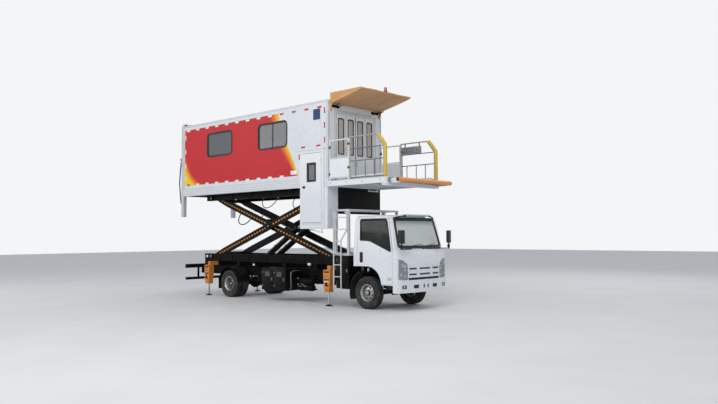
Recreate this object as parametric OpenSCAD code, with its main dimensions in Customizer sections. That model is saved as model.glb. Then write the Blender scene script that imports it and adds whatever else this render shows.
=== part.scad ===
// Airport passenger lift truck: a cab-over truck that carries a closed cabin on a scissor lift,
// with a railed boarding platform over the cab and a tail lift behind the cabin.
// Millimetres. +X is forward, +Y is the vehicle's left, +Z is up, and the ground is at Z = 0.
// The modules use X = 0 at the rear axle, and place() moves the origin to the middle of the length.

/* [Chassis] */
// Distance between the front and rear axles
wheelbase = 5430; // [5000:10:5900]
// Outer radius of every tyre
tyre_r = 395; // [380:1:405]
// Width of one tyre
tyre_w = 200; // [180:1:210]
// Radius of the rim's edge
rim_r = 205; // [190:1:215]
// Distance between the centres of the two front tyres
front_track = 1660; // [1620:5:1700]
// Distance between the middles of the left and right twin wheels
rear_track = 1530; // [1500:5:1560]
// Distance between the centres of two twin tyres
twin_pitch = 250; // [230:1:260]
// Half of the outer width over the frame rails
rail_y = 425; // [400:5:430]
// Height of the frame rails' top above the ground
rail_top = 830; // [810:5:850]
// Depth of a frame rail
rail_h = 210; // [190:5:220]
// Width of a frame rail's flanges
rail_flange = 65; // [50:1:75]
// Wall of the frame rails and of the lift frame's channels
rail_t = 8; // [6:1:10]
// Distance from the arms' rear pins back to the frame rails' rear end
rail_rear = 840; // [700:10:900]
// Distance from the front axle to the rails' front end
rail_front = 720; // [650:10:760]
// Place of the power pack's box ahead of the rear axle
pack_x = 1520; // [1450:10:1600]
// Length of the power pack's box on the right side
pack_l = 1010; // [900:10:1050]
// Height of the power pack's box
pack_h = 600; // [500:10:620]
// Length of the fuel tank on the left side
tank_l = 900; // [700:10:950]
// Height of the fuel tank
tank_h = 450; // [380:10:470]
// Height of the lockers below the landing
locker_h = 870; // [800:10:900]
// Length of the engine
engine_l = 760; // [700:10:780]

/* [Scissor lift] */
// Length of each scissor arm between its end pins
arm_len = 5520; // [5400:10:5600]
// Distance of the arms' front pins behind the cabin's front face
front_pin_back = 360; // [350:5:400]
// Height of the lower end pins
low_pin_z = 1170; // [1165:1:1175]
// Height of the upper end pins at rest
top_pin_z = 2965; // [2960:1:2970]
// Depth of a scissor arm in the middle
arm_h = 200; // [160:5:220]
// Radius of an arm's rounded end
arm_end_r = 66; // [60:1:68]
// Thickness of a scissor arm
arm_t = 50; // [40:1:54]
// Inner face of the outer arms, from the middle plane
outer_arm_y = 455; // [450:1:460]
// Inner face of the inner arms, from the middle plane
inner_arm_y = 370; // [365:1:375]
// Radius of the scissor's pins
pin_r = 35; // [30:1:38]
// Depth of the channels in which the arms' rollers run
track_h = 160; // [155:1:165]
// Radius of the rollers
roller_r = 62; // [58:1:63]
// Distance of the lift cylinders from the middle plane
ram_y = 200; // [180:5:220]
// Distance of the lift cylinders' lower pins ahead of the arms' rear pins
ram_ahead = 2060; // [2020:10:2100]
// Height of the lift cylinders' lower pins
ram_z = 1120; // [1110:5:1130]
// Distance of the rods' eyes along the outer arms
ram_reach = 4300; // [4250:10:4350]
// Distance of the rods' eyes below the outer arms' centre line
ram_drop = 220; // [215:1:225]
// Outer radius of a lift cylinder
ram_r = 75; // [65:1:80]
// Radius of a lift cylinder's rod
ram_rod_r = 45; // [38:1:50]

/* [Cabin] */
// Length of the cabin
cabin_l = 6560; // [6500:10:6620]
// Distance of the cabin's front face behind the cab's rear wall
cabin_back = 820; // [810:5:850]
// Half of the cabin's width
cabin_y = 1025; // [1015:1:1035]
// Height of the cabin's lower edge at rest
cabin_z = 3045; // [3042:1:3048]
// Height of the cabin's walls from the lower edge to the roof
cabin_h = 2225; // [2150:5:2300]
// Thickness of the cabin's walls and roof
wall_t = 45; // [35:1:55]
// Thickness of the cabin's floor
floor_t = 135; // [125:1:140]
// Height of the cabin windows' lower edge above the cabin's lower edge
window_z = 1125; // [1050:5:1200]
// Height of a cabin window
window_h = 770; // [700:5:800]
// Length of a cabin window
window_w = 1290; // [1200:5:1350]
// Distances of the middles of the two windows in each side behind the cabin's front face
window_back = [4655, 2200]; // [1500:5:5500]
// Width of the front doorway between its jambs
doorway_w = 1460; // [1400:10:1500]
// Height of the front doorway
doorway_h = 1750; // [1700:5:1800]

/* [Side door] */
// Distance of the side doorway's rear edge behind the cabin's front face
side_door_back = 970; // [960:1:980]
// Width of the side doorway
side_door_w = 740; // [700:5:750]
// Height of the side doorway's sill
side_sill_z = 2085; // [2070:1:2100]
// Height of the side doorway
side_door_h = 1890; // [1850:5:1950]
// Depth of the step well behind the side door
well_y = 390; // [380:1:395]
// Height of the beam under the step well
well_beam_h = 120; // [100:1:130]

/* [Boarding platform] */
// Length of the fixed platform in front of the cabin
deck_l = 1810; // [1700:5:1850]
// Thickness of the platform's side beams
deck_h = 150; // [130:5:160]
// Height of the guard rails above the platform
rail_z = 1040; // [1000:10:1100]
// Radius of the guard rails' tubes
rail_r = 17; // [14:1:21]
// Distance that the sliding front edge stands out at rest
slide_out = 350; // [300:5:400]
// Radius of the front roll
roll_r = 55; // [45:1:60]
// Reach of the canopy in front of the cabin
canopy_l = 1110; // [1000:10:1150]
// Half of the canopy's width
canopy_y = 960; // [900:5:990]
// Thickness of the canopy at its front edge
canopy_h = 60; // [40:5:80]

/* [Cab] */
// Distance from the front axle to the bumper's front
cab_front = 1100; // [1080:10:1110]
// Distance from the front axle back to the cab's rear wall
cab_rear = 390; // [370:5:420]
// Half of the cab's width
cab_y = 970; // [950:5:990]
// Height of the cab's roof
cab_top = 2270; // [2240:5:2290]
// Height of the cab's lower edge beside the wheel arch
cab_sill = 605; // [590:5:620]
// Thickness of the cab's walls and doors
cab_t = 40; // [30:1:50]
// Radius of the cab's upright front corners
cab_corner = 130; // [100:5:150]
// Radius of the bow across the cab's front
cab_bow = 6000; // [5000:100:12000]
// Height of the windscreen's lower edge
screen_z = 1475; // [1465:5:1520]
// Gap around each cab door
door_gap = 6; // [5:1:8]
// Height of the bumper
bumper_h = 290; // [250:5:310]

/* [Tail lift and stabilisers] */
// Half of the distance between the tail lift's columns
column_y = 965; // [950:5:965]
// Height of the tail platform's hinge at rest
tail_hinge_z = 4200; // [4100:10:4300]
// Length of the tail platform
tail_l = 1200; // [1100:10:1250]
// Distance of the rear stabilisers behind the rear axle
rear_leg_back = 1060; // [1000:5:1100]
// Distance of the front stabilisers behind the cab's rear wall
front_leg_back = 900; // [880:5:920]
// Distance of the stabilisers from the middle plane
leg_y = 935; // [900:5:950]
// Radius of a stabiliser's leg
leg_r = 30; // [24:1:36]

/* [Hidden] */
$fn = 48;
gap = 5;
pin_clear = 0.1;

cab_back_x = wheelbase - cab_rear;
cabin_front_x = cab_back_x - cabin_back;
cabin_rear_x = cabin_front_x - cabin_l;
window_x = [for (d = window_back) cabin_front_x - d];
side_door_x = cabin_front_x - side_door_back;
leg_x = [-rear_leg_back, cab_back_x - front_leg_back];
cabin_top = cabin_z + cabin_h;
eaves_h = 45;
skirt_h = 230;
floor_top = cabin_z + floor_t;
roll_x = cabin_front_x + deck_l + slide_out + 150;
tail_rear_x = cabin_rear_x - 260;
middle_x = (roll_x + roll_r + tail_rear_x) / 2;

lift_angle = asin((top_pin_z - low_pin_z) / arm_len);
arm_run = arm_len * cos(lift_angle);
front_pin_x = cabin_front_x - front_pin_back;
pivot_x = front_pin_x - arm_run;
rail_rear_x = pivot_x - rail_rear;
ram_x = pivot_x + ram_ahead;
track_y = 540;
track_web_y = 640;
track_start_x = pivot_x - 340;
track_end_x = cabin_front_x - 110;
frame_z = rail_top + 200;
low_track_z = low_pin_z - track_h / 2;
top_track_z = top_pin_z - track_h / 2;

ram_eye = [pivot_x + ram_reach * cos(lift_angle) + ram_drop * sin(lift_angle),
           low_pin_z + ram_reach * sin(lift_angle) - ram_drop * cos(lift_angle)];
ram_angle = atan2(ram_eye[1] - ram_z, ram_eye[0] - ram_x);
ram_len = norm(ram_eye - [ram_x, ram_z]);
barrel_len = 1750;
ram_ear = ram_rod_r + 6;

front_x = wheelbase;
cab_face_x = wheelbase + cab_front - 30;
cab_edge_x = cab_face_x - 215;
cab_belt_z = 1440;
cab_floor_z = 1036;
deck_front_x = cabin_front_x + deck_l;
deck_top = floor_top;
leaf_w = doorway_w / 4;
cab_hinge = [cab_edge_x - 3, cab_y];
door_hinge_z = [1180, 1400];
side_hinge = [side_door_x + side_door_w - 5, -cabin_y - 30];
side_hinge_z = [side_sill_z + 250, side_sill_z + side_door_h - 250];
leaf_hinge_z = [deck_top + 200, deck_top + doorway_h - 200];
jamb_hinge = [cabin_front_x - 2, -doorway_w / 2 + 1.5];
fold_hinge = [cabin_front_x - 38, leaf_w - doorway_w / 2];
rail_top_z = deck_top + rail_z;
guard_y = cabin_y - 30;
edge_drop = 6;
gantry_x = [cab_back_x - 685, cab_back_x - 200];
gantry_y = 960;
ladder_x = [gantry_x[0] + 80, gantry_x[0] + 335];
ladder_y = -1055;
rung_pitch = 295;
gantry_top = 2440;
landing_z = 1330;

// Helpers

module place() {
    translate([-middle_x, 0, 0]) children();
}

module block(low, high) {
    translate(low) cube(high - low);
}

module sides() {
    children();
    mirror([0, 1, 0]) children();
}

// A round bar from a to b, where both points share two of their coordinates
module bar(a, b, r) {
    d = b - a;
    translate(a)
        rotate(d[0] != 0 ? [0, 90, 0] : d[1] != 0 ? [-90, 0, 0] : [0, 0, 0])
            translate([0, 0, min(0, d[0] + d[1] + d[2])]) cylinder(r = r, h = abs(d[0] + d[1] + d[2]));
}

// A round bar between two points of a plane at y
module slanted_bar(a, b, y, r) {
    translate([a[0], y, a[1]])
        rotate([0, 90 - atan2(b[1] - a[1], b[0] - a[0]), 0]) cylinder(r = r, h = norm(b - a));
}

module rounded(w, h, r) {
    translate([r, 0]) square([w - 2 * r, h]);
    translate([0, r]) square([w, h - 2 * r]);
    for (x = [r, w - r], y = [r, h - r]) translate([x, y]) circle(r);
}

// A plate drawn in X and Z, from y to y + t
module xz_plate(y, t) {
    translate([0, y + t, 0]) rotate([90, 0, 0]) linear_extrude(t) children();
}

// A plate drawn in Y and Z, from x to x + t
module yz_plate(x, t) {
    translate([x, 0, 0]) rotate([90, 0, 90]) linear_extrude(t) children();
}

// Chassis

module frame_rails() color("#1c1c1e") {
    sides() difference() {
        block([rail_rear_x, rail_y - rail_flange, rail_top - rail_h],
              [front_x + rail_front, rail_y, rail_top]);
        block([rail_rear_x - 1, rail_y - rail_flange - 1, rail_top - rail_h + rail_t],
              [front_x + rail_front + 1, rail_y - rail_t, rail_top - rail_t]);
    }
    for (x = [rail_rear_x + 60, -700, 700, 1900, 3100, front_x - 1130, front_x + rail_front - 60])
        bar([x, rail_t - rail_y, rail_top - rail_h / 2], [x, rail_y - rail_t, rail_top - rail_h / 2], 45);
    for (x = [cab_back_x + 40, front_x + 560]) sides()
        block([x, rail_y - rail_flange, rail_top], [x + 100, rail_y, cab_floor_z]);
}

module channel(x0, x1, z) {
    difference() {
        block([x0, track_y, z], [x1, track_web_y, z + track_h]);
        block([x0 - 1, track_y - 1, z + 12], [x1 + 1, track_web_y - 10, z + track_h - 12]);
    }
}

module lift_frame() color("#202124") {
    sides() {
        block([track_start_x, rail_y - 70, rail_top], [track_end_x + 120, rail_y, frame_z - 130]);
        for (y = [ram_y - ram_ear - 20, ram_y + ram_ear])
            xz_plate(y, 20) {
                translate([ram_x - 70, frame_z]) square([140, ram_z - frame_z]);
                translate([ram_x, ram_z]) circle(70);
            }
        bar([ram_x, ram_y - ram_ear - 5, ram_z], [ram_x, ram_y + ram_ear + 5, ram_z], pin_r);
    }
    for (x = [track_start_x + 60, leg_x[0], 0, ram_x, pack_x + 580, front_pin_x - 560, leg_x[1]])
        block([x - 60, -track_web_y, frame_z - 130], [x + 60, track_web_y, frame_z]);
}

module lower_tracks() color("#202124") {
    sides() {
        channel(track_start_x, track_end_x, low_track_z);
        block([track_start_x, track_web_y - 40, frame_z], [track_end_x, track_web_y, low_track_z]);
        bar([pivot_x, track_web_y - 10, low_pin_z], [pivot_x, outer_arm_y - 12, low_pin_z], pin_r);
        bar([pivot_x, track_web_y - 10, low_pin_z], [pivot_x, outer_arm_y + arm_t + 8, low_pin_z], 56);
    }
}

module engine_block() color("#3a3b3d") {
    block([front_x - 200, -320, 600], [front_x - 200 + engine_l, 320, 1010]);
    block([front_x - 780, -180, 520], [front_x - 199, 180, 850]);
    block([front_x + 150, rail_t - rail_y, 700], [front_x + 230, rail_y - rail_t, 750]);
}

module rear_axle() color("#2a2a2c") {
    bar([0, -560, tyre_r], [0, 560, tyre_r], 60);
    bar([0, -890, tyre_r], [0, 890, tyre_r], 45);
    for (s = [-1, 1]) {
        bar([0, s * 555, tyre_r], [0, s * 632, tyre_r], 150);
        bar([0, s * 887, tyre_r], [0, s * 905, tyre_r], 70);
    }
    translate([0, 0, tyre_r]) sphere(r = 165);
    slanted_bar([150, tyre_r], [front_x - 790, 600], 0, 40);
    slanted_bar([150, tyre_r], [300, tyre_r + 7], 0, 70);
}

module leaf_springs() color("#2a2a2c") {
    for (s = [[0, tyre_r + 60, 700], [front_x, tyre_r + 10, 600]])
        sides() for (k = [0:3])
            block([s[0] - s[2] + 130 * k, 350, s[1] + 14 * k], [s[0] + s[2] - 130 * k, 420, s[1] + 14 * k + 14]);
    for (s = [[0, tyre_r + 60, 700], [front_x, tyre_r + 10, 600]])
        sides() for (x = [s[0] - s[2] + 40, s[0] + s[2] - 40])
            block([x - 30, 360, s[1] + 14], [x + 30, 410, rail_top - rail_h]);
}

module front_axle() color("#2a2a2c") {
    difference() {
        union() {
            block([front_x - 45, -620, tyre_r - 70], [front_x + 45, 620, tyre_r + 10]);
            for (s = [-1, 1]) translate([front_x, s * 620, tyre_r - 70]) cylinder(r = 45, h = 80);
        }
        sides() {
            block([front_x - 46, -1, tyre_r - 55], [front_x - 15, 540, tyre_r - 5]);
            block([front_x + 15, -1, tyre_r - 55], [front_x + 46, 540, tyre_r - 5]);
        }
        for (s = [-1, 1]) translate([front_x, s * 620, 0]) cylinder(r = 22 + pin_clear, h = 1000);
    }
}

module side_boxes() color("#17181a") {
    block([pack_x, -985, 900 - pack_h], [pack_x + pack_l, -550, 900]);
    yz_plate(1900, tank_l) translate([540, 830 - tank_h]) rounded(430, tank_h, 90);
    for (x = [2000, 1900 + tank_l - 160]) block([x, rail_y, 700], [x + 60, 541, 760]);
    sides() block([gantry_x[0] + 45, 500, landing_z - 5 - locker_h], [gantry_x[1] - 2, gantry_y - 31, landing_z - 5]);
}

module stabiliser_housings() color("#c8702a") {
    for (x = leg_x) sides() {
        difference() {
            union() {
                block([x - 60, track_web_y, frame_z - 120], [x + 60, leg_y, frame_z - 10]);
                xz_plate(leg_y - 85, 170)
                    polygon([[x - 120, 915], [x + 120, 915], [x + 120, 640], [x + 75, 350],
                             [x - 75, 350], [x - 120, 640]]);
            }
            translate([x, leg_y, 300]) cylinder(r = leg_r + pin_clear, h = 100);
            translate([x, leg_y, 390]) cylinder(r = leg_r + 25, h = 470);
        }
    }
}

module stabiliser_legs(x) color("#8f9194") {
    sides() translate([x, leg_y, 0]) {
        cylinder(r = 95, h = 18);
        cylinder(r = 55, h = 40);
        cylinder(r = leg_r, h = 540);
    }
}

module rear_guards() color("#1c1c1e") {
    guard_r = tyre_r + 75;
    guard_y = rear_track / 2 - twin_pitch / 2 - tyre_w / 2 - 10;
    sides() {
        difference() {
            translate([0, guard_y, tyre_r]) rotate([-90, 0, 0]) cylinder(r = guard_r, h = 480);
            translate([0, guard_y - 1, tyre_r]) rotate([-90, 0, 0]) cylinder(r = guard_r - 6, h = 482);
            block([-600, guard_y - 1, -200], [600, guard_y + 481, tyre_r + 110]);
        }
        block([-20, track_web_y - 60, tyre_r + guard_r - 3], [20, track_web_y - 20, frame_z - 130]);
        block([-500, guard_y + 20, 230], [-492, guard_y + 460, 560]);
        block([-496, guard_y + 20, 505], [-450, guard_y + 460, 511]);
    }
    block([rail_rear_x - 80, -980, 790], [rail_rear_x, 980, 910]);
    sides() block([rail_rear_x - 40, 500, 500], [rail_rear_x - 10, 560, 790]);
    block([rail_rear_x - 70, -980, 420], [rail_rear_x - 10, 980, 500]);
    difference() {
        block([rail_rear_x - 150, -45, 810], [rail_rear_x - 80, 45, 890]);
        translate([rail_rear_x - 112, 0, 800]) cylinder(r = 15, h = 100);
    }
}

module lamps() color("#e8e6df") {
    sides() {
        block([rail_rear_x - 96, 640, 800], [rail_rear_x - 80.3, 960, 900]);
        intersection() {
            difference() {
                cab_lower(2);
                cab_lower(cab_t - 4);
            }
            yz_plate(cab_face_x - 169.7, 250) lamp_outline(0.3);
        }
    }
}

module ladder_gantry() color("#c9ccd1") {
    knee = [[ladder_x[1], landing_z + 330], [ladder_x[1] + 205, landing_z + 600]];
    post = 30;
    bar([ladder_x[0], ladder_y, 440], [ladder_x[0], ladder_y, gantry_top], 19);
    bar([ladder_x[1], ladder_y, 440], [ladder_x[1], ladder_y, knee[0][1]], 17);
    slanted_bar(knee[0], knee[1], ladder_y, 17);
    for (k = knee) translate([k[0], ladder_y, k[1]]) sphere(r = 17);
    bar([knee[1][0], ladder_y, knee[1][1]], [knee[1][0], ladder_y, gantry_top - 60], 17);
    for (k = [0:6]) bar([ladder_x[0], ladder_y, 465 + rung_pitch * k],
                        [k < 5 ? ladder_x[1] : knee[1][0], ladder_y, 465 + rung_pitch * k], 13);
    difference() {
        block([gantry_x[0] - post, -gantry_y, landing_z - 45], [gantry_x[1] + post, gantry_y, landing_z]);
        block([gantry_x[0], 30 - gantry_y, landing_z - 46], [gantry_x[1], gantry_y - 30, landing_z - 5]);
    }
    for (x = gantry_x, y = [post - gantry_y, gantry_y - post])
        block([x - post, y - post, landing_z - 5], [x + (x == gantry_x[0] ? 70 : post), y + post, gantry_top]);
    for (x = gantry_x)
        block([x - post, -gantry_y, gantry_top - 40], [x + post, gantry_y, gantry_top]);
    for (y = [post - gantry_y, gantry_y - post])
        block([gantry_x[0], y - post, gantry_top - 40], [gantry_x[1], y + post, gantry_top]);
    for (x = [gantry_x[0], gantry_x[1] - 60], y = [-rail_y, rail_y - 60])
        block([x - 30, y, rail_top], [x + 30, y + 60, landing_z - 5]);
    for (v = [[ladder_x[0], landing_z - 25], [ladder_x[0], gantry_top - 20], [ladder_x[1], landing_z - 25]])
        bar([v[0], ladder_y, v[1]], [v[0], -gantry_y + 1, v[1]], 15);
    bar([gantry_x[1], ladder_y - 14, gantry_top - 90], [gantry_x[1], -gantry_y + 1, gantry_top - 90], 14);
    bar([gantry_x[1], ladder_y, gantry_top - 90], [knee[1][0], ladder_y, gantry_top - 90], 12);
}

// A hinge along Z at [x, y]: the pin with its two ears, the sleeve on it, and the room for each
module hinge_pin(p, z, r) {
    translate([p[0], p[1], z - 45]) cylinder(r = r / 2, h = 90);
    for (k = [-45, 31]) translate([p[0], p[1], z + k]) cylinder(r = r, h = 14);
}

module hinge_sleeve(p, z, r) {
    translate([p[0], p[1], z - 30]) difference() {
        cylinder(r = r, h = 60);
        translate([0, 0, -1]) cylinder(r = r / 2 + pin_clear, h = 62);
    }
}

module hinge_room(p, z, r, ears) {
    if (ears) for (k = [-46, 30]) translate([p[0], p[1], z + k]) cylinder(r = r + 1, h = 16);
    else translate([p[0], p[1], z - 31]) cylinder(r = r + 1, h = 62);
    translate([p[0], p[1], z - 46]) cylinder(r = r / 2 + pin_clear, h = 92);
}

// Cab

// The cab's outline at one height: back, face, half width and corner radius, drawn in by d
function cab_outline(back, face, w, r) =
    let (bow = (w - r) * (w - r) / 2 / cab_bow)
    concat([[back, w], [back, -w]],
           [for (a = [-90:15:0]) [face - bow - r + r * cos(a), r - w + r * sin(a)]],
           [for (k = [-0.75, -0.5, -0.25, 0, 0.25, 0.5, 0.75])
               [face - pow(k * (w - r), 2) / 2 / cab_bow, k * (w - r)]],
           [for (a = [0:15:90]) [face - bow - r + r * cos(a), w - r + r * sin(a)]]);

// Levels of the cab's lower and upper body: height, back, face, half width
lower_levels = [[cab_sill, 0, 0, 0], [1100, 0, 0, 0], [1300, 0, -20, 0], [cab_belt_z, 0, -48, -4]];
upper_levels = [[cab_belt_z - 1, 0, -76, -6], [cab_top - 150, 0, -268, -62], [cab_top - 80, 2, -292, -82],
                [cab_top - 35, 8, -330, -112], [cab_top - 8, 30, -386, -155], [cab_top, 60, -450, -200]];

module cab_levels(levels, d) {
    last = len(levels) - 1;
    hull() for (k = [0:last]) {
        v = levels[k];
        translate([0, 0, v[0] - (k == 0 ? 0 : k == last ? d : d * 0.8) - 0.2]) linear_extrude(0.2)
            polygon(cab_outline(cab_back_x + v[1] + d, cab_face_x + v[2] - d, cab_y + v[3] - d, cab_corner));
    }
}

module cab_upper(d) {
    cab_levels(upper_levels, d);
}

module cab_lower(d) {
    cab_levels(lower_levels, d);
}

module cab_room() {
    cab_upper(cab_t);
    translate([0, 0, cab_t]) cab_lower(cab_t);
    translate([0, 0, -5]) cab_lower(cab_t);
}

module door_outline(d) {
    x0 = cab_back_x + 110 + d;
    x1 = cab_edge_x - d;
    polygon([[x0, cab_floor_z + d], [x0, 2150], [x0 + 20, cab_top - 80 - d], [x1 - 160, cab_top - 80 - d],
             [x1, cab_belt_z], [x1, cab_sill + 12 + d], [front_x + 500 + d, cab_sill + 12 + d],
             [front_x + 488 + d, 712 + d], [front_x + 440 + d, 822 + d], [front_x + 350 + d, 927 + d],
             [front_x + 230 + d, 1000 + d], [front_x + 100, cab_floor_z + d]]);
}

module door_window_outline(d) {
    x0 = cab_back_x + 200 + d;
    x1 = cab_edge_x - 50 - d;
    polygon([[x0, 1665 + d], [x0 - 25, cab_top - 130 - d], [x0, cab_top - 105 - d],
             [x1 - 190, cab_top - 105 - d], [x1 - 165, cab_top - 130 - d], [x1, 1420], [x1 - 8, 1395 + d * 2],
             [x1 - 30, 1400 + d * 2], [x0 + 330, 1645 + d]]);
}

module screen_outline(d) {
    polygon([[-780 + d, screen_z + d], [-835 + d, screen_z + 60], [-785 + d, cab_top - 120],
             [-745 + d, cab_top - 78 - d], [745 - d, cab_top - 78 - d], [785 - d, cab_top - 120],
             [835 - d, screen_z + 60], [780 - d, screen_z + d]]);
}

module lamp_outline(d) {
    polygon([[cab_y - 55 - d, 740 + d], [cab_y - 350 + d, 725 + d], [cab_y - 365 + d, 900],
             [cab_y - 340 + d, 1100 - d], [cab_y - 200, 1195 - d], [cab_y - 60 - d, 1215 - d]]);
}

module cab_shell() color("#eef0f2") {
    difference() {
        union() {
            cab_lower(0);
            cab_upper(0);
        }
        cab_room();
        block([cab_back_x - 100, -cab_y - 10, 400], [front_x + 101, cab_y + 10, cab_floor_z]);
        xz_plate(-cab_y - 10, 2 * cab_y + 20)
            polygon([[front_x + 100, 400], [front_x + 100, cab_floor_z], [front_x + 231, 1001], [front_x + 351, 928],
                     [front_x + 441, 823], [front_x + 489, 713], [front_x + 501, cab_sill + 12], [front_x + 501, 400]]);
        sides() xz_plate(cab_y - 170, 300) door_outline(0);
        for (z = door_hinge_z) sides() {
            hinge_room(cab_hinge, z, 16, false);
            hinge_room(cab_hinge, z, 16, true);
        }
        yz_plate(cab_face_x - 400, 450) screen_outline(0);
        sides() yz_plate(cab_face_x - 170, 250) lamp_outline(0);
        yz_plate(cab_back_x - 60, 200) translate([-500, 1560]) rounded(1000, 430, 60);
        for (z = [970, 835], y = [[-575, 270], [-210, 420], [305, 270]])
            yz_plate(cab_face_x - 60, 100) translate([y[0], z]) rounded(y[1], 42, 12);
        yz_plate(cab_face_x - 60, 100) translate([-600, 725]) rounded(1200, 55, 12);
    }
    intersection() {
        block([cab_back_x, 5 + cab_t - cab_y, cab_floor_z], [cab_face_x, cab_y - cab_t - 5, cab_floor_z + 35]);
        cab_lower(cab_t - 2);
    }
    xz_plate(-460, 920)
        polygon([[cab_face_x - 400, cab_top - 6], [cab_face_x - 370, cab_top + 18], [cab_face_x - 190, cab_top + 20],
                 [cab_face_x - 180, cab_top - 4], [cab_face_x - 330, cab_top - 36]]);
    for (z = door_hinge_z) sides() {
        hinge_pin(cab_hinge, z, 16);
        for (k = [-45, 31]) block([cab_hinge[0], cab_hinge[1] - 12, z + k], [cab_hinge[0] + 34, cab_hinge[1], z + k + 14]);
    }
}

module cab_door() color("#eef0f2") {
    difference() {
        intersection() {
            union() {
                cab_lower(0);
                cab_upper(0);
            }
            xz_plate(-cab_y - 50, 220) door_outline(door_gap);
        }
        cab_room();
        xz_plate(-1100, 500) door_window_outline(0);
        for (z = door_hinge_z) mirror([0, 1, 0]) hinge_room(cab_hinge, z, 16, true);
        block([cab_back_x + 225, -cab_y - 5, 1140], [cab_back_x + 290, -cab_y + 16, 1370]);
    }
    for (z = door_hinge_z) mirror([0, 1, 0]) {
        hinge_sleeve(cab_hinge, z, 16);
        block([cab_hinge[0] - 60, cab_hinge[1] - 14, z - 30], [cab_hinge[0] - 12, cab_hinge[1] - 2, z + 30]);
    }
}

module cab_door_glass() color("#28323a") {
    intersection() {
        difference() {
            union() {
                cab_lower(14);
                cab_upper(14);
            }
            cab_upper(20);
            translate([0, 0, 20]) cab_lower(20);
        }
        xz_plate(-cab_y - 50, 220) door_window_outline(0.3);
    }
}

module windscreen() color("#2c3942") {
    intersection() {
        difference() {
            cab_upper(10);
            cab_upper(17);
        }
        yz_plate(cab_face_x - 380, 450) screen_outline(0.3);
    }
}

module cab_fittings() color("#3b3d42") {
    seat_z = cab_floor_z + 35;
    dash_x = cab_face_x - 215;
    for (y = [-520, 40, 500]) {
        block([cab_back_x + 230, y - 210, seat_z], [cab_back_x + 720, y + 210, seat_z + 330]);
        block([cab_back_x + 130, y - 200, seat_z + 250], [cab_back_x + 260, y + 200, seat_z + 880]);
    }
    block([dash_x - 250, -820, 1330], [dash_x, 820, screen_z + 30]);
    block([dash_x - 130, -820, seat_z], [dash_x, 820, 1340]);
    translate([dash_x - 350, 500, 1540]) rotate([0, -35, 0]) {
        difference() {
            cylinder(r = 210, h = 26);
            translate([0, 0, -1]) cylinder(r = 182, h = 28);
        }
        translate([-190, -15, 4]) cube([380, 30, 16]);
        translate([-15, -190, 4]) cube([30, 380, 16]);
        translate([0, 0, -200]) cylinder(r = 30, h = 210);
    }
}

module front_bumper() color("#eef0f2") {
    z0 = cab_sill - 175;
    face = cab_face_x + 30;
    difference() {
        translate([0, 0, z0]) linear_extrude(bumper_h)
            polygon(cab_outline(cab_edge_x + 15, face, cab_y + 6, cab_corner));
        translate([0, 0, z0 - 1]) linear_extrude(bumper_h + 2)
            polygon(cab_outline(cab_edge_x - 5, face - 50, cab_y - 45, cab_corner - 20));
        translate([0, 0, cab_sill - 5]) linear_extrude(bumper_h)
            polygon(cab_outline(cab_edge_x - 5, cab_face_x + 0.3, cab_y + 0.3, cab_corner));
        for (y = [[-835, 150], [-455, 190], [-105, 60], [45, 60], [265, 190], [685, 150]])
            yz_plate(face - 120, 200) translate([y[0], z0 + 95]) rounded(y[1], 85, 15);
    }
    for (y = [-400, 345]) {
        block([front_x + rail_front, y, cab_sill - 65], [face - 45, y + 55, cab_sill - 10]);
        block([front_x + rail_front - 80, y, cab_sill - 65], [front_x + rail_front + 10, y + 55, rail_top - rail_h]);
    }
}

// Where the windscreen's face lies at a given place
function screen_x(y, z) =
    cab_face_x - 76 - (z - cab_belt_z) * 192 / (cab_top - 150 - cab_belt_z) - y * y / 2 / cab_bow;

module mirrors() color("#151617") {
    post = [cab_face_x + 38, cab_y - 40];
    stay_z = screen_z - 16;
    sides() {
        translate([post[0], post[1], 1590]) linear_extrude(310) rotate(15) translate([-38, -85]) rounded(76, 170, 36);
        bar([post[0], post[1], stay_z - 18], [post[0], post[1], 1600], 15);
        bar([post[0], 570, stay_z], [post[0], post[1], stay_z], 11);
        for (y = [600, 740]) bar([screen_x(y, stay_z) + 2.1, y, stay_z], [post[0], y, stay_z], 8);
    }
}

// Wheels

module tyre_profile() {
    w = tyre_w / 2;
    polygon([[rim_r, -w + 12], [rim_r + 40, -w], [tyre_r - 60, -w], [tyre_r - 14, -w + 22],
             [tyre_r, -w + 45], [tyre_r, w - 45], [tyre_r - 14, w - 22], [tyre_r - 60, w],
             [rim_r + 40, w], [rim_r, w - 12]]);
}

module tyre(x, y) {
    translate([x, y, tyre_r]) rotate([90, 0, 0]) rotate_extrude($fn = 64) tyre_profile();
}

// A disc wheel centred at y, whose dished disc bows towards +Y by dish
module rim(x, y, dish) {
    w = tyre_w / 2 - 12;
    translate([x, y, tyre_r]) rotate([-90, 0, 0]) difference() {
        union() {
            difference() {
                translate([0, 0, -w]) cylinder(r = rim_r, h = 2 * w);
                translate([0, 0, -w - 1]) cylinder(r = rim_r - 14, h = 2 * w + 2);
            }
            translate([0, 0, dish]) cylinder(r = rim_r - 6, h = 12);
            translate([0, 0, dish - 20]) cylinder(r = 95, h = 52);
        }
        for (k = [0:7]) rotate(45 * k) translate([145, 0, dish - 30]) cylinder(r = 22, h = 100);
        translate([0, 0, dish - 40]) cylinder(r = 45 + pin_clear, h = 200);
    }
}

module front_tyre() color("#19191a") tyre(front_x, front_track / 2);
module front_rim() color("#c4c7cb") rim(front_x, front_track / 2, 10);

module rear_tyres() color("#19191a") {
    for (s = [-1, 1]) tyre(0, rear_track / 2 + s * twin_pitch / 2);
}

module rear_rims() color("#c4c7cb") {
    rim(0, rear_track / 2 + twin_pitch / 2, -40);
    rim(0, rear_track / 2 - twin_pitch / 2, 20);
    translate([0, rear_track / 2 - twin_pitch / 2 + 52, tyre_r]) rotate([-90, 0, 0]) difference() {
        cylinder(r = 95, h = twin_pitch - 112 + 1);
        translate([0, 0, -1]) cylinder(r = 45 + pin_clear, h = twin_pitch);
    }
}

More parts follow.
